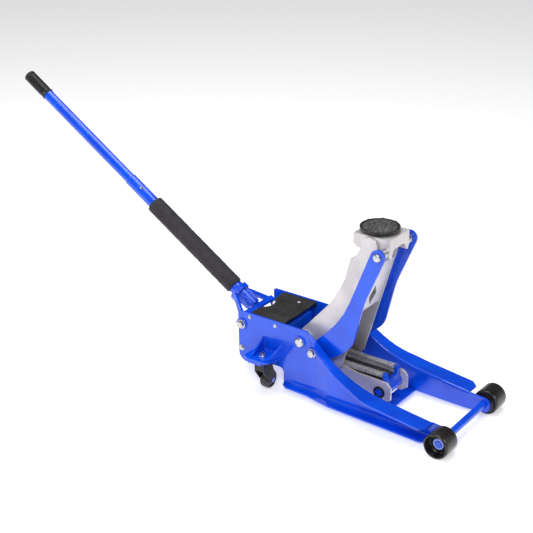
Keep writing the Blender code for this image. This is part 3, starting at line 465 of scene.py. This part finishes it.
# painted edge highlight: the lighter blue third colour lightens sharp edges and scratches in
# patches; it is not bare metal
BLUE = Finish("blue enamel", Slot.BLUE, (0.0012, 0.088, 0.80), (0.0010, 0.060, 0.66),
              bare=(0.10, 0.22, 0.75), bare_metal=0.2, roughness=0.19, rough_spread=0.05,
              coat=0.55, specular=0.42, wear=0.14, scratch=0.03, dust=0.0,
              grain_scale=380.0, grain_depth=0.000010)
SILVER = Finish("silver paint", Slot.ZINC, (0.70, 0.665, 0.675), (0.56, 0.535, 0.545),
                bare=(0.25, 0.24, 0.23), roughness=0.36, metallic=0.35, bare_metal=0.8, coat=0.3,
                wear=0.45, scratch=0.12, dust=0.05, grain_scale=700.0, grain_depth=0.000015)
PLATED = Finish("bright plated steel", Slot.BRIGHT, (0.62, 0.62, 0.63), (0.48, 0.48, 0.46),
                bare=(0.38, 0.37, 0.36), roughness=0.27, metallic=1.0, wear=0.3, scratch=0.25,
                dust=0.02, edge=0.0008, mottle=60.0, grain_scale=1500.0, grain_depth=0.00001)
BLUED = Finish("blue zinc", Slot.BRIGHT, (0.22, 0.32, 0.80), (0.16, 0.24, 0.62),
               bare=(0.45, 0.46, 0.52), roughness=0.25, metallic=0.6, wear=0.4, scratch=0.2,
               dust=0.02, edge=0.0008, mottle=60.0, grain_scale=1500.0, grain_depth=0.00001)
STEEL = Finish("oiled steel", Slot.STEEL, (0.085, 0.084, 0.088), (0.045, 0.045, 0.048),
               bare=(0.4, 0.4, 0.4), roughness=0.34, metallic=0.7, wear=0.4, scratch=0.35,
               dust=0.03, brushed=(1.0, 12.0, 12.0), grain_scale=420.0)
SPRING = Finish("spring wire", Slot.STEEL, (0.72, 0.72, 0.72), (0.50, 0.50, 0.50),
                roughness=0.32, metallic=0.55, wear=0.1, edge=0.0003, scratch=0.2, dust=0.02,
                mottle=90.0, grain_scale=1600.0)
# pale grey edges: mostly a painted edge highlight along the cover's edges, partly rubbed paint
CRINKLE = Finish("black crinkle enamel", Slot.ENAMEL, (0.0080, 0.0072, 0.0076),
                 (0.024, 0.022, 0.023), bare=(0.50, 0.49, 0.50), roughness=0.50, wear=1.5,
                 edge=0.0018, specular=0.35, scratch=0.15, dust=0.02, mottle=40.0,
                 grain_scale=620.0, grain_depth=0.00006, grain_detail=6.0)
CAST_BLACK = Finish("black enamelled casting", Slot.ENAMEL, (0.011, 0.011, 0.012),
                    (0.024, 0.023, 0.023), bare=(0.20, 0.19, 0.185), roughness=0.34, wear=0.8,
                    specular=0.36, scratch=0.25, dust=0.02, mottle=30.0, grain_scale=380.0,
                    grain_depth=0.00005)
# brownish edges and strong scratches: partly real scratches and wear, partly painted highlight
# streaks on the treads
NYLON = Finish("black nylon", Slot.NYLON, (0.0070, 0.0062, 0.0062), (0.024, 0.021, 0.020),
               bare=(0.10, 0.085, 0.075), bare_metal=0.0, roughness=0.24, coat=0.25, wear=0.7,
               specular=0.36, scratch=0.6, dust=0.01, mottle=26.0, grain_scale=500.0,
               grain_depth=0.00002)
RUBBER = Finish("black rubber", Slot.RUBBER, (0.012, 0.012, 0.013), (0.026, 0.026, 0.027),
                bare=(0.26, 0.26, 0.26), bare_metal=0.0, roughness=0.50, wear=0.9, scratch=0.2,
                dust=0.05, mottle=48.0, grain_scale=1300.0, grain_depth=0.00004, specular=0.4)
PAD = Finish("worn rubber pad", Slot.RUBBER, (0.010, 0.010, 0.011), (0.15, 0.15, 0.155),
             bare=(0.42, 0.42, 0.43), bare_metal=0.0, roughness=0.42, wear=1.0, scratch=0.4,
             dust=0.0, edge=0.0007, mottle=170.0, grain_scale=1300.0, grain_depth=0.00005,
             specular=0.5)
GRIP = Finish("black vinyl grip", Slot.RUBBER, (0.0060, 0.0060, 0.0065), (0.012, 0.012, 0.013),
              bare=(0.08, 0.08, 0.08), bare_metal=0.0, roughness=0.30, coat=0.12, wear=0.2,
              scratch=0.1, dust=0.0, specular=0.30, mottle=30.0, grain_scale=1500.0,
              grain_depth=0.00002)
FOAM = Finish("closed-cell foam", Slot.FOAM, (0.030, 0.027, 0.033), (0.042, 0.037, 0.045),
              bare=(0.10, 0.10, 0.11), bare_metal=0.0, roughness=0.58, wear=0.2, scratch=0.0,
              dust=0.0, mottle=36.0, grain_scale=900.0, grain_depth=0.00004, specular=0.22,
              cells=True)


# --- mesh building ------------------------------------------------------------------------
def frame_of(axis: Vector) -> tuple[Vector, Vector, Vector]:
    """Three unit vectors, the first along the axis.

    Args:
        axis: any direction.

    Returns:
        The axis and two directions square to it.
    """
    along = axis.normalized()
    hint = Vector((0, 0, 1)) if abs(along.z) < 0.9 else Vector((1, 0, 0))
    side = (hint - along * hint.dot(along)).normalized()
    return along, side, along.cross(side)


def turn_to(origin: Vector, axis: Vector) -> Matrix:
    """The transform that takes +Z to an axis through a point.

    Args:
        origin: the point.
        axis: the axis.

    Returns:
        The transform.
    """
    along, side, other = frame_of(axis)
    turn = Matrix((side, other, along)).transposed().to_4x4()
    return Matrix.Translation(origin) @ turn


def sharp_edges(bm: bmesh.types.BMesh, degrees: float) -> list[bmesh.types.BMEdge]:
    """Edges whose two faces meet at more than an angle.

    Args:
        bm: the mesh.
        degrees: the angle.

    Returns:
        The edges.
    """
    limit = math.radians(degrees)
    return [e for e in bm.edges if len(e.link_faces) == 2 and e.calc_face_angle(0.0) > limit]


def soften(bm: bmesh.types.BMesh, width: float, segments: int = 2, degrees: float = 32.0) -> None:
    """Rounds the sharp edges of a mesh.

    Args:
        bm: the mesh.
        width: how far the rounding reaches from an edge.
        segments: steps in the rounding.
        degrees: the least angle that is rounded.
    """
    bmesh.ops.recalc_face_normals(bm, faces=bm.faces)
    bmesh.ops.bevel(bm, geom=sharp_edges(bm, degrees), offset=width, offset_type="OFFSET",
                    segments=segments, profile=0.5, affect="EDGES", material=-1,
                    clamp_overlap=True)


def revolve(profile: Profile, origin: Vector, axis: Vector, steps: int = 48,
            rounding: float = 0.0) -> bmesh.types.BMesh:
    """Turns a profile of (distance along the axis, radius) into a solid.

    Args:
        profile: the outline; it is closed by itself when it never meets the axis.
        origin: a point on the axis.
        axis: the axis.
        steps: facets round the axis.
        rounding: width of the rounding on its sharp edges.

    Returns:
        The solid.
    """
    along, side, _ = frame_of(axis)
    bm = bmesh.new()
    ring = [bm.verts.new(origin + along * t + side * r) for t, r in profile]
    pairs = list(zip(ring, ring[1:]))
    if profile[0][1] > 1e-9 or profile[-1][1] > 1e-9:
        pairs.append((ring[-1], ring[0]))
    edges = [bm.edges.new(pair) for pair in pairs]
    bmesh.ops.spin(bm, geom=ring + edges, cent=origin, axis=along, dvec=(0, 0, 0),
                   angle=2 * math.pi, steps=steps, use_merge=True)
    bmesh.ops.remove_doubles(bm, verts=bm.verts, dist=1e-6)
    bmesh.ops.recalc_face_normals(bm, faces=bm.faces)
    if rounding > 0:
        soften(bm, rounding)
    return bm


def block(size: Vector, place: Matrix, rounding: float = 0.0) -> bmesh.types.BMesh:
    """A rounded block.

    Args:
        size: its three sides.
        place: where its centre goes, and how it is turned.
        rounding: width of the rounding on its edges.

    Returns:
        The block.
    """
    bm = bmesh.new()
    bmesh.ops.create_cube(bm, size=1.0, matrix=Matrix.Diagonal((*size, 1.0)))
    if rounding > 0:
        soften(bm, rounding)
    bmesh.ops.transform(bm, matrix=place, verts=bm.verts)
    return bm


def join(target: bmesh.types.BMesh, *others: bmesh.types.BMesh) -> bmesh.types.BMesh:
    """Adds other meshes to a mesh and frees them.

    Args:
        target: the mesh that grows.
        others: the meshes to add.

    Returns:
        The target.
    """
    for other in others:
        held = bpy.data.meshes.new("held")
        other.to_mesh(held)
        other.free()
        target.from_mesh(held)
        bpy.data.meshes.remove(held)
    return target


def make_piece(name: str, bm: bmesh.types.BMesh, finish: Finish, body: str,
               replaced: Iterable[str] = (), sharp: float = 34.0) -> bpy.types.Object:
    """Turns a mesh into a piece that rides on a body.

    Args:
        name: the piece's name.
        bm: its mesh, which is freed.
        finish: its finish.
        body: the CAD body it moves with.
        replaced: the CAD nodes it stands for.
        sharp: the angle above which edges stay sharp in shading.

    Returns:
        The piece.
    """
    mesh = bpy.data.meshes.new(name)
    bm.to_mesh(mesh)
    bm.free()
    mesh.shade_smooth()
    mesh.set_sharp_from_angle(angle=math.radians(sharp))
    mesh.materials.append(finish.material())
    piece = bpy.data.objects.new(name, mesh)
    bpy.context.scene.collection.objects.link(piece)
    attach(piece, body)
    for node in replaced:
        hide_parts(node)
    log.info("%s: %d faces, on %s", name, len(mesh.polygons), body)
    return piece


def centre_of(node: str) -> Vector:
    """The middle of a CAD node's box.

    Args:
        node: the node's name.

    Returns:
        The middle.
    """
    low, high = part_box(node)
    return (low + high) / 2


def outer_face(node: str, side: Side) -> float:
    """How far a CAD node reaches from the jack's middle plane.

    Args:
        node: the node's name.
        side: the side to measure on.

    Returns:
        The distance.
    """
    low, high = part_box(node)
    return high.y if side is Side.LEFT else -low.y


def handle_line() -> tuple[Vector, Vector]:
    """The handle's centre line at rest.

    Returns:
        The pivot, and the direction in which the handle rises from it.
    """
    bolt = centre_of("yoke_bolt_right")
    along = Vector((-math.cos(HANDLE_TILT), 0.0, math.sin(HANDLE_TILT)))
    return Vector((bolt.x, 0.0, bolt.z)), along


# --- sub-assemblies -----------------------------------------------------------------------
@dataclass
class Dressing:
    """Gives every CAD node that stays visible its finish."""

    rules: tuple[tuple[str, Finish], ...] = (
        ("side_plate", BLUE), ("caster_bracket", BLUE), ("front_cross", BLUE),
        ("rear_tie", BLUE), ("front_axle", BLUE), ("power_unit", BLUE), ("radius_link", BLUE),
        ("crosshead", BLUE), ("handle_yoke", BLUE), ("handle_lower", BLUE),
        ("handle_upper", BLUE), ("lift_arm", SILVER), ("saddle_bracket", SILVER),
        ("drag_link", SILVER), ("caster_axle", BLUED), ("wheel_ring", BLUED),
        ("front_wheel", NYLON), ("caster_wheel", NYLON), ("gland", CAST_BLACK),
        ("caster_fork", CAST_BLACK),
        ("pump_cover", CRINKLE), ("saddle_pad", RUBBER), ("saddle", CAST_BLACK),
        ("foam", FOAM), ("handle_grip", GRIP), ("ram", STEEL), ("return_spring", SPRING))

    def build(self) -> None:
        """Puts a finish on each CAD node's own slots."""
        for name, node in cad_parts.items():
            finish = next((f for start, f in self.rules if name.startswith(start)), PLATED)
            for entry in node.material_slots:
                entry.link = "OBJECT"
                entry.material = finish.material()
            if not node.material_slots:
                node.data.materials.append(finish.material())


@dataclass
class SaddleTop:
    """The round saddle with its lugged rim and waffle pad."""

    lugs: int = 8
    lug: Point = (0.0056, 0.0080, 0.0056)
    cell: float = 0.0100
    groove: float = 0.0034
    relief: float = 0.0020
    skew: float = math.radians(17)    # how the waffle is turned on the saddle

    def build(self) -> None:
        """Builds the saddle and its pad."""
        low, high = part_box("saddle")
        self.middle = Vector(((low.x + high.x) / 2, 0.0, 0.0))
        self.radius = (high.x - low.x) / 2
        self.bottom, self.top = low.z, high.z
        self.dish()
        self.pad()

    def dish(self) -> None:
        """The cast dish: stem, stepped skirt, rim and the lugs round it."""
        r, z = self.radius, self.top
        profile = [(self.bottom, 0.0), (self.bottom, 0.013), (z - 0.0134, 0.013),
                   (z - 0.0134, 0.043), (z - 0.0106, 0.0453), (z - 0.0095, 0.0487),
                   (z - 0.0074, r - 0.0014), (z - 0.0062, r - 0.0004), (z - 0.0018, r - 0.0004),
                   (z - 0.0012, r - 0.0014), (z - 0.0012, r - 0.0050), (z - 0.0020, r - 0.0058),
                   (z - 0.0050, r - 0.0063), (z - 0.0050, 0.0)]
        bm = revolve(profile, self.middle, UP, 72, 0.0004)
        for index in range(self.lugs):
            turn = Matrix.Rotation(2 * math.pi * (index + 0.5) / self.lugs, 4, "Z")
            place = Matrix.Translation(self.middle) @ turn @ Matrix.Translation(
                (r - 0.0034, 0.0, z - 0.0030))
            join(bm, block(Vector(self.lug), place, 0.0009))
        make_piece("saddle_dish", bm, CAST_BLACK, "saddle", ["saddle"])

    def pad(self) -> None:
        """The rubber pad, with raised square cells on a thin disc."""
        floor, r = self.top - 0.0049, self.radius - 0.0074
        bm = revolve([(floor, 0.0), (floor, r), (floor + 0.0012, r), (floor + 0.0018, r - 0.0006),
                      (floor + 0.0018, 0.0)], self.middle, UP, 64, 0.0)
        count = int(r / self.cell) + 1
        turn = Matrix.Rotation(self.skew, 4, "Z")
        for i in range(-count, count + 1):
            for j in range(-count, count + 1):
                spot = Vector((i * self.cell, j * self.cell, 0.0))
                if spot.length + self.cell * 0.62 > r:
                    continue
                place = (Matrix.Translation(self.middle) @ turn @ Matrix.Translation(
                    (spot.x, spot.y, floor + 0.0015 + self.relief / 2)))
                side = self.cell - self.groove
                join(bm, block(Vector((side, side, self.relief)), place, 0.0005))
        join(bm, revolve([(floor + 0.0016, r - 0.0030), (floor + 0.0032, r - 0.0026),
                          (floor + 0.0032, r - 0.0012), (floor + 0.0016, r - 0.0004)],
                         self.middle, UP, 64, 0.0002))
        make_piece("saddle_waffle_pad", bm, PAD, "saddle", ["saddle_pad"])


@dataclass
class ReturnSprings:
    """The pair of close-wound return springs beside the ram."""

    pitch: float = 0.0042
    wire: float = 0.0014
    stroke: float = 0.1147            # the ram's travel
    margins: tuple[float, float] = (0.0022, 0.0012)
    facets: int = 18

    def build(self) -> None:
        """Builds both springs, on the frame."""
        for side in Side:
            node = f"return_spring_{side.word}"
            low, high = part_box(node)
            axis = centre_of(node)
            start, end = low.x + self.margins[0], high.x - self.margins[1]
            radius = (high.z - low.z) / 2 - self.wire
            turns = int((end - start) / self.pitch)
            bm = bmesh.new()
            here = Vector((start, axis.y, axis.z + radius))
            ring = bmesh.ops.create_circle(
                bm, cap_ends=False, segments=8, radius=self.wire,
                matrix=Matrix.Translation(here) @ Matrix.Rotation(math.radians(90), 4, "X"))
            edges = list({e for v in ring["verts"] for e in v.link_edges})
            steps = turns * self.facets
            bmesh.ops.spin(bm, geom=ring["verts"] + edges, cent=axis, axis=(1, 0, 0),
                           dvec=((end - start) / steps, 0, 0), angle=2 * math.pi * turns,
                           steps=steps, use_merge=False)
            bmesh.ops.holes_fill(bm, edges=[e for e in bm.edges if e.is_boundary], sides=12)
            bmesh.ops.recalc_face_normals(bm, faces=bm.faces)
            piece = make_piece(f"spring_coil_{side.word}", bm, SPRING, "frame", [node], 60)
            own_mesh(piece)


@dataclass
class HexBolts:
    """Hex bolts with washers, on the side plates and the caster brackets."""

    sizes: tuple[tuple[str, float], ...] = (
        ("yoke_bolt", 0.019), ("link_bolt", 0.019), ("tie_bolt", 0.012))
    washer: float = 0.0018
    chamfer: float = 0.077            # a share of the size across the flats
    crown: float = 0.0016
    height: float = 0.42              # a share of the size across the flats
    shank: float = 0.022

    def head(self, origin: Vector, axis: Vector, across: float, tall: float,
             washer: float) -> bmesh.types.BMesh:
        """A chamfered hex head on a washer.

        Args:
            origin: the middle of the washer's underside.
            axis: the way the head points.
            across: size across the flats.
            tall: height of the hexagon.
            washer: radius of the washer.

        Returns:
            The head and washer.
        """
        top = self.washer + tall
        bm = bmesh.new()
        bmesh.ops.create_cone(bm, cap_ends=True, cap_tris=False, segments=6,
                              radius1=across / math.sqrt(3), radius2=across / math.sqrt(3),
                              depth=tall,
                              matrix=Matrix.Translation((0, 0, self.washer + tall / 2)))
        corners = [e for e in bm.edges if all(v.co.z > self.washer + tall * 0.9 for v in e.verts)]
        bmesh.ops.bevel(bm, geom=corners, offset=across * self.chamfer,
                        offset_type="OFFSET", segments=3, profile=0.5, affect="EDGES",
                        material=-1, clamp_overlap=True)
        bmesh.ops.transform(bm, matrix=turn_to(origin, axis), verts=bm.verts)
        ring = revolve([(0.0, 0.0), (0.0, washer), (self.washer * 0.8, washer),
                        (self.washer, washer - 0.0008), (self.washer, 0.0)], origin, axis, 40,
                       0.0002)
        disc = revolve([(self.washer + tall * 0.6, 0.0), (self.washer + tall * 0.6, across * 0.40),
                        (top + 0.0004, across * 0.38), (top + 0.0004, across * 0.30),
                        (top - 0.0003, across * 0.27), (top - 0.0003, 0.0)], origin, axis, 32, 0.0)
        return join(bm, ring, disc)

    def build(self) -> None:
        """Puts a detailed bolt over each CAD bolt."""
        for side in Side:
            axis = Vector((0, side.sign, 0))
            for label, across in self.sizes:
                node = f"{label}_{side.word}"
                low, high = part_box(node)
                middle, out = centre_of(node), outer_face(node, side)
                seat = out - self.crown - across * self.height
                origin = Vector((middle.x, side.sign * seat, middle.z))
                tall = out - seat - self.washer - 0.0006
                bm = self.head(origin, axis, across, tall, (high.x - low.x) / 2)
                join(bm, revolve([(-self.shank, 0.0), (-self.shank, across * 0.40),
                                  (0.0002, across * 0.40), (0.0002, 0.0)], origin, axis, 28, 0.0))
                make_piece(f"hex_{node}", bm, PLATED, "frame", [node], 30)


@dataclass(frozen=True)
class Boss:
    """A raised ring round a bolt: its radii, and its reach along the bolt from the bolt's seat."""

    bolt: str
    inner: float
    outer: float
    start: float
    end: float
    seat: float                       # how deep the seat lies below the bolt's outer face


@dataclass
class Bosses:
    """Raised rings round the bolts of the side plates, and the clips on the crosshead's pin."""

    rings: tuple[Boss, ...] = (
        Boss("arm_cap", 0.0136, 0.0180, 0.0001, 0.0032, 0.0079),
        Boss("yoke_bolt", 0.0086, 0.0168, -0.0031, -0.0002, 0.00958),
        Boss("link_bolt", 0.0130, 0.0160, -0.0015, 0.0010, 0.00958))
    tube: float = 0.019
    clip: tuple[float, float, float] = (0.0100, 0.0164, 0.0030)
    clip_seat: float = 0.0020

    def ring(self, inner: float, outer: float, low: float, high: float, origin: Vector,
             axis: Vector) -> bmesh.types.BMesh:
        """A flat ring with rounded edges.

        Args:
            inner: its inside radius.
            outer: its outside radius.
            low: where it starts along the axis.
            high: where it ends.
            origin: a point on the axis.
            axis: the axis.

        Returns:
            The ring.
        """
        return revolve([(low, inner), (low, outer), (high, outer), (high, inner)], origin, axis,
                       56, 0.0005)

    def build(self) -> None:
        """Puts a ring round each bolt and a clip on each end of the pin."""
        inner, outer, tall = self.clip
        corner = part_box("crosshead")[0]
        for side in Side:
            axis = Vector((0, side.sign, 0))
            for boss in self.rings:
                node = f"{boss.bolt}_{side.word}"
                middle, seat = centre_of(node), outer_face(node, side) - boss.seat
                origin = Vector((middle.x, side.sign * seat, middle.z))
                bm = self.ring(boss.inner, boss.outer, boss.start, boss.end, origin, axis)
                make_piece(f"boss_{node}", bm, BLUE, "frame")
            seat = outer_face("crosshead", side) - self.clip_seat
            origin = Vector((corner.x + self.tube, side.sign * seat, corner.z + self.tube))
            bm = self.ring(inner, outer, 0.0, tall, origin, axis)
            make_piece(f"pin_clip_{side.word}", bm, CAST_BLACK, "ram")


@dataclass
class SocketRibs:
    """Ribs pressed along the handle socket."""

    span: tuple[float, float] = (0.032, 0.075)
    radius: float = 0.0203
    bead: float = 0.0021
    count: int = 9

    def build(self) -> None:
        """Builds the ribs."""
        pivot, along = handle_line()
        _, side, other = frame_of(along)
        start, end = self.span
        r = self.bead
        bm = bmesh.new()
        for index in range(self.count):
            turn = 2 * math.pi * index / self.count
            spot = pivot + (side * math.cos(turn) + other * math.sin(turn)) * self.radius
            join(bm, revolve([(start, 0.0), (start + r * 0.4, r * 0.7), (start + r * 1.6, r),
                              (end - r * 1.6, r), (end - r * 0.4, r * 0.7), (end, 0.0)],
                             spot, along, 12, 0.0))
        make_piece("socket_ribs", bm, BLUE, "yoke", (), 60)


@dataclass
class FrontWheels:
    """Nylon rollers with a deep outer recess, a web and a crowned tread."""

    steps: int = 96
    bore: float = 0.0106

    def build(self) -> None:
        """Builds both rollers."""
        for side in Side:
            node = f"front_wheel_{side.word}"
            low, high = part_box(node)
            middle = centre_of(node)
            inner = min(abs(low.y), abs(high.y))
            outer = max(abs(low.y), abs(high.y))
            r = (high.z - low.z) / 2
            origin = Vector((middle.x, 0.0, middle.z))
            profile = [(inner, self.bore), (inner, 0.017), (inner + 0.0008, 0.018),
                       (inner + 0.0008, r - 0.0050), (inner, r - 0.0040),
                       (inner + 0.0010, r - 0.0012), (inner + 0.0030, r - 0.0003),
                       (inner + 0.008, r), (outer - 0.009, r),
                       (outer - 0.0040, r - 0.0003), (outer - 0.0014, r - 0.0012),
                       (outer, r - 0.0034), (outer - 0.0003, r - 0.0050),
                       (outer - 0.0020, r - 0.0060), (outer - 0.0060, r - 0.0066),
                       (outer - 0.0205, r - 0.0082), (outer - 0.0216, r - 0.0094),
                       (outer - 0.0218, 0.0185), (outer - 0.0214, 0.0172),
                       (outer - 0.0196, 0.0160), (outer - 0.0196, self.bore)]
            bm = revolve(profile, origin, Vector((0, side.sign, 0)), self.steps, 0.0)
            make_piece(f"roller_{side.word}", bm, NYLON, node, [node], 40)


@dataclass
class CasterWheels:
    """Small crowned wheels of the rear casters."""

    steps: int = 64
    bore: float = 0.0051

    def build(self) -> None:
        """Builds both wheels."""
        for side in Side:
            node = f"caster_wheel_{side.word}"
            low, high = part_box(node)
            w, r = (high.x - low.x) / 2, (high.z - low.z) / 2
            half = [(w, self.bore), (w, 0.0105), (w - 0.0006, 0.0112), (w - 0.0022, 0.0118),
                    (w - 0.0030, 0.0130), (w - 0.0030, r - 0.0075), (w - 0.0018, r - 0.0058),
                    (w - 0.0004, r - 0.0050), (w, r - 0.0036), (w - 0.0010, r - 0.0012),
                    (w - 0.0036, r - 0.0001), (w - 0.0060, r)]
            profile = half + [(-t, d) for t, d in reversed(half)]
            bm = revolve(profile, centre_of(node), Vector((1, 0, 0)), self.steps, 0.0)
            make_piece(f"caster_tyre_{side.word}", bm, NYLON, node, [node], 40)


@dataclass
class Handle:
    """Foam sleeve, grip and tube joint of the handle."""

    foam: tuple[float, float, float] = (0.103, 0.437, 0.025)
    grip: tuple[float, float, float] = (0.897, 0.986, 0.0174)
    tube: float = 0.0175
    inner: float = 0.0155
    joint: float = 0.537
    waves: int = 46
    ribs: int = 13
    rib_step: float = 0.0048

    def build(self) -> None:
        """Builds the soft and moulded pieces of the handle."""
        self.pivot, self.along = handle_line()
        self.sleeve()
        self.hand_grip()
        self.collar()

    def sleeve(self) -> None:
        """The foam sleeve: softly rounded ends and a slightly uneven skin."""
        start, end, r = self.foam
        profile = [(start + 0.0006, self.tube + 0.0004), (start, self.tube + 0.0030),
                   (start + 0.0004, r - 0.0040), (start + 0.0022, r - 0.0012)]
        for index in range(self.waves + 1):
            t = start + 0.005 + (end - start - 0.010) * index / self.waves
            wave = 0.00022 * math.sin(index * 1.7) + 0.00016 * math.sin(index * 0.61 + 1.0)
            profile.append((t, r - 0.0003 + wave))
        profile += [(end - 0.0022, r - 0.0012), (end - 0.0004, r - 0.0040),
                    (end, self.tube + 0.0030), (end - 0.0006, self.tube + 0.0004)]
        bm = revolve(profile, self.pivot, self.along, 56, 0.0)
        piece = make_piece("foam_grip_sleeve", bm, FOAM, "handle", ["foam_sleeve"], 60)

    def hand_grip(self) -> None:
        """The moulded grip: a lip at the tube, shallow ribs and a domed end."""
        start, end, r = self.grip
        profile = [(start, self.inner + 0.0006), (start, r - 0.0006), (start + 0.0008, r),
                   (start + 0.0046, r), (start + 0.0056, r - 0.0008), (start + 0.0100, r - 0.0010)]
        for index in range(self.ribs):
            t = start + 0.014 + index * self.rib_step
            profile += [(t, r - 0.0010), (t + 0.0008, r - 0.0003), (t + 0.0026, r - 0.0003),
                        (t + 0.0034, r - 0.0010)]
        profile += [(end - 0.0100, r - 0.0008), (end - 0.0085, r), (end - 0.0050, r - 0.0004),
                    (end - 0.0020, r - 0.0030), (end - 0.0004, r - 0.0080), (end, r - 0.0120),
                    (end, 0.0), (end - 0.010, 0.0), (end - 0.010, self.inner + 0.0006)]
        bm = revolve(profile, self.pivot, self.along, 56, 0.0)
        make_piece("moulded_hand_grip", bm, GRIP, "handle", ["handle_grip"], 40)

    def collar(self) -> None:
        """The rolled mouth of the lower tube where the upper one enters."""
        r = self.tube
        bm = revolve([(self.joint - 0.0030, r - 0.0009), (self.joint - 0.0026, r + 0.0002),
                      (self.joint - 0.0008, r + 0.0003), (self.joint + 0.0006, r - 0.0002),
                      (self.joint + 0.0008, r - 0.0009)], self.pivot, self.along, 48, 0.0)
        make_piece("tube_mouth", bm, BLUE, "handle", (), 60)


@dataclass
class Welds:
    """Weld beads where the caster brackets meet the side plates."""

    bead: float = 0.0026
    step: float = 0.0032
    shelf: float = 0.0135             # the shelf's height above the bracket's foot

    def run(self, start: Vector, end: Vector) -> bmesh.types.BMesh:
        """A bead of overlapping ripples along a line.

        Args:
            start: where the bead starts.
            end: where it ends.

        Returns:
            The bead.
        """
        bm = bmesh.new()
        span = end - start
        count = max(2, int(span.length / self.step))
        flatten = Matrix.Diagonal((1.0, 1.0, 0.95, 1.0))
        for index in range(count + 1):
            size = self.bead * (1.0 + 0.10 * math.sin(index * 2.3))
            place = turn_to(start + span * index / count, span) @ flatten
            bmesh.ops.create_icosphere(bm, subdivisions=2, radius=size, matrix=place)
        return bm

    def build(self) -> None:
        """Lays the beads."""
        for side in Side:
            low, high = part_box(f"caster_bracket_{side.word}")
            wall = min(abs(low.y), abs(high.y)) + 0.0006
            shelf = low.z + self.shelf
            bm = self.run(Vector((low.x + 0.010, side.sign * wall, shelf)),
                          Vector((high.x - 0.002, side.sign * wall, shelf)))
            for x, top in ((low.x + 0.0255, high.z - 0.004), (high.x - 0.0045, high.z - 0.006)):
                join(bm, self.run(Vector((x, side.sign * wall, shelf)),
                                  Vector((x, side.sign * wall, top))))
            make_piece(f"bracket_weld_{side.word}", bm, BLUE, "frame", (), 60)


@dataclass(frozen=True)
class Lamp:
    """A soft square lamp, aimed at a point."""

    name: str
    place: Point
    target: Point
    size: float
    watts: float

    def build(self) -> None:
        """Hangs the lamp."""
        data = bpy.data.lights.new(self.name, "AREA")
        data.shape = "SQUARE"
        data.size = self.size
        data.energy = self.watts
        lamp = bpy.data.objects.new(self.name, data)
        lamp.location = self.place
        aim = Vector(self.target) - Vector(self.place)
        lamp.rotation_euler = aim.to_track_quat("-Z", "Y").to_euler()
        bpy.context.scene.collection.objects.link(lamp)


@dataclass
class Studio:
    """Pale floor, soft light and the camera."""

    lamps: tuple[Lamp, ...] = (
        Lamp("key_panel", (1.4, -3.0, 3.2), (0.1, 0, 0.2), 1.6, 84.0),
        Lamp("top_panel", (-0.2, 0.3, 3.6), (0.0, 0, 0.0), 2.6, 92.0),
        Lamp("left_panel", (-3.2, -2.2, 2.2), (0.0, 0, 0.2), 1.4, 46.0),
        Lamp("right_panel", (3.4, 1.6, 2.0), (0.3, 0, 0.2), 1.4, 28.0))
    floor_colour: Colour = (0.80, 0.80, 0.81)
    floor_reach: float = 30.0
    floor_gap: float = 0.0002         # below the jack's lowest point
    floor_glow: float = 0.50
    low_sky: Colour = (1.0, 1.0, 1.0)
    high_sky: Colour = (0.10, 0.10, 0.12)
    sky_strength: float = 0.58
    stand: Point = (2.0428, -2.7080, 1.7938)
    azimuth: float = 35.65
    elevation: float = 24.11
    roll: float = -0.434
    sensor: float = 36.0              # millimetres
    lens: float = 91.43865            # millimetres

    def build(self) -> None:
        """Builds the floor, the surroundings, the lights and the camera."""
        self.floor()
        self.surroundings()
        for lamp in self.lamps:
            lamp.build()
        self.camera()

    def floor(self) -> None:
        """A plain pale floor."""
        bm = bmesh.new()
        bmesh.ops.create_grid(bm, x_segments=1, y_segments=1, size=self.floor_reach)
        mesh = bpy.data.meshes.new("studio_floor")
        bm.to_mesh(mesh)
        bm.free()
        floor = bpy.data.objects.new("studio_floor", mesh)
        floor.location.z = CAD_BOX[0][2] - self.floor_gap
        bpy.context.scene.collection.objects.link(floor)
        made = bpy.data.materials.new("pale floor")
        made.use_nodes = True
        shader = made.node_tree.nodes["Principled BSDF"]
        shader.inputs["Base Color"].default_value = (*self.floor_colour, 1.0)
        shader.inputs["Roughness"].default_value = 0.60
        shader.inputs["Emission Color"].default_value = (1.0, 1.0, 1.0, 1.0)
        shader.inputs["Emission Strength"].default_value = self.floor_glow
        mesh.materials.append(made)

    def surroundings(self) -> None:
        """Bright low down and darker overhead, so that level faces keep their colour."""
        world = bpy.data.worlds.new("studio")
        bpy.context.scene.world = world
        world.use_nodes = True
        tree = Tree(world.node_tree)
        back = world.node_tree.nodes["Background"]
        place = tree.add("TexCoord")
        split = tree.add("SeparateXYZ")
        tree.feed(split.inputs[0], place.outputs["Generated"])
        share = tree.ramp(split.outputs["Z"], 0.03, 0.38)
        tree.feed(back.inputs["Color"], tree.mix(share, self.low_sky, self.high_sky))
        back.inputs["Strength"].default_value = self.sky_strength

    def camera(self) -> None:
        """The camera, from the front right and above."""
        data = bpy.data.cameras.new("camera")
        data.sensor_width = self.sensor
        data.lens = self.lens
        data.clip_end = 100.0
        camera = bpy.data.objects.new("camera", data)
        turn = (Matrix.Rotation(math.radians(self.azimuth), 4, "Z")
                @ Matrix.Rotation(math.radians(90.0 - self.elevation), 4, "X")
                @ Matrix.Rotation(math.radians(self.roll), 4, "Z"))
        camera.matrix_world = Matrix.Translation(self.stand) @ turn
        bpy.context.scene.collection.objects.link(camera)
        bpy.context.scene.camera = camera


def main() -> None:
    """Builds the studio and every sub-assembly."""
    logging.basicConfig(level=logging.INFO, format="%(name)s: %(message)s")
    bpy.context.scene.view_settings.view_transform = "Standard"
    for part in (Studio, Dressing, SaddleTop, ReturnSprings, HexBolts, Bosses, SocketRibs,
                 FrontWheels, CasterWheels, Handle, Welds):
        part().build()


if __name__ == "__main__":
    main()
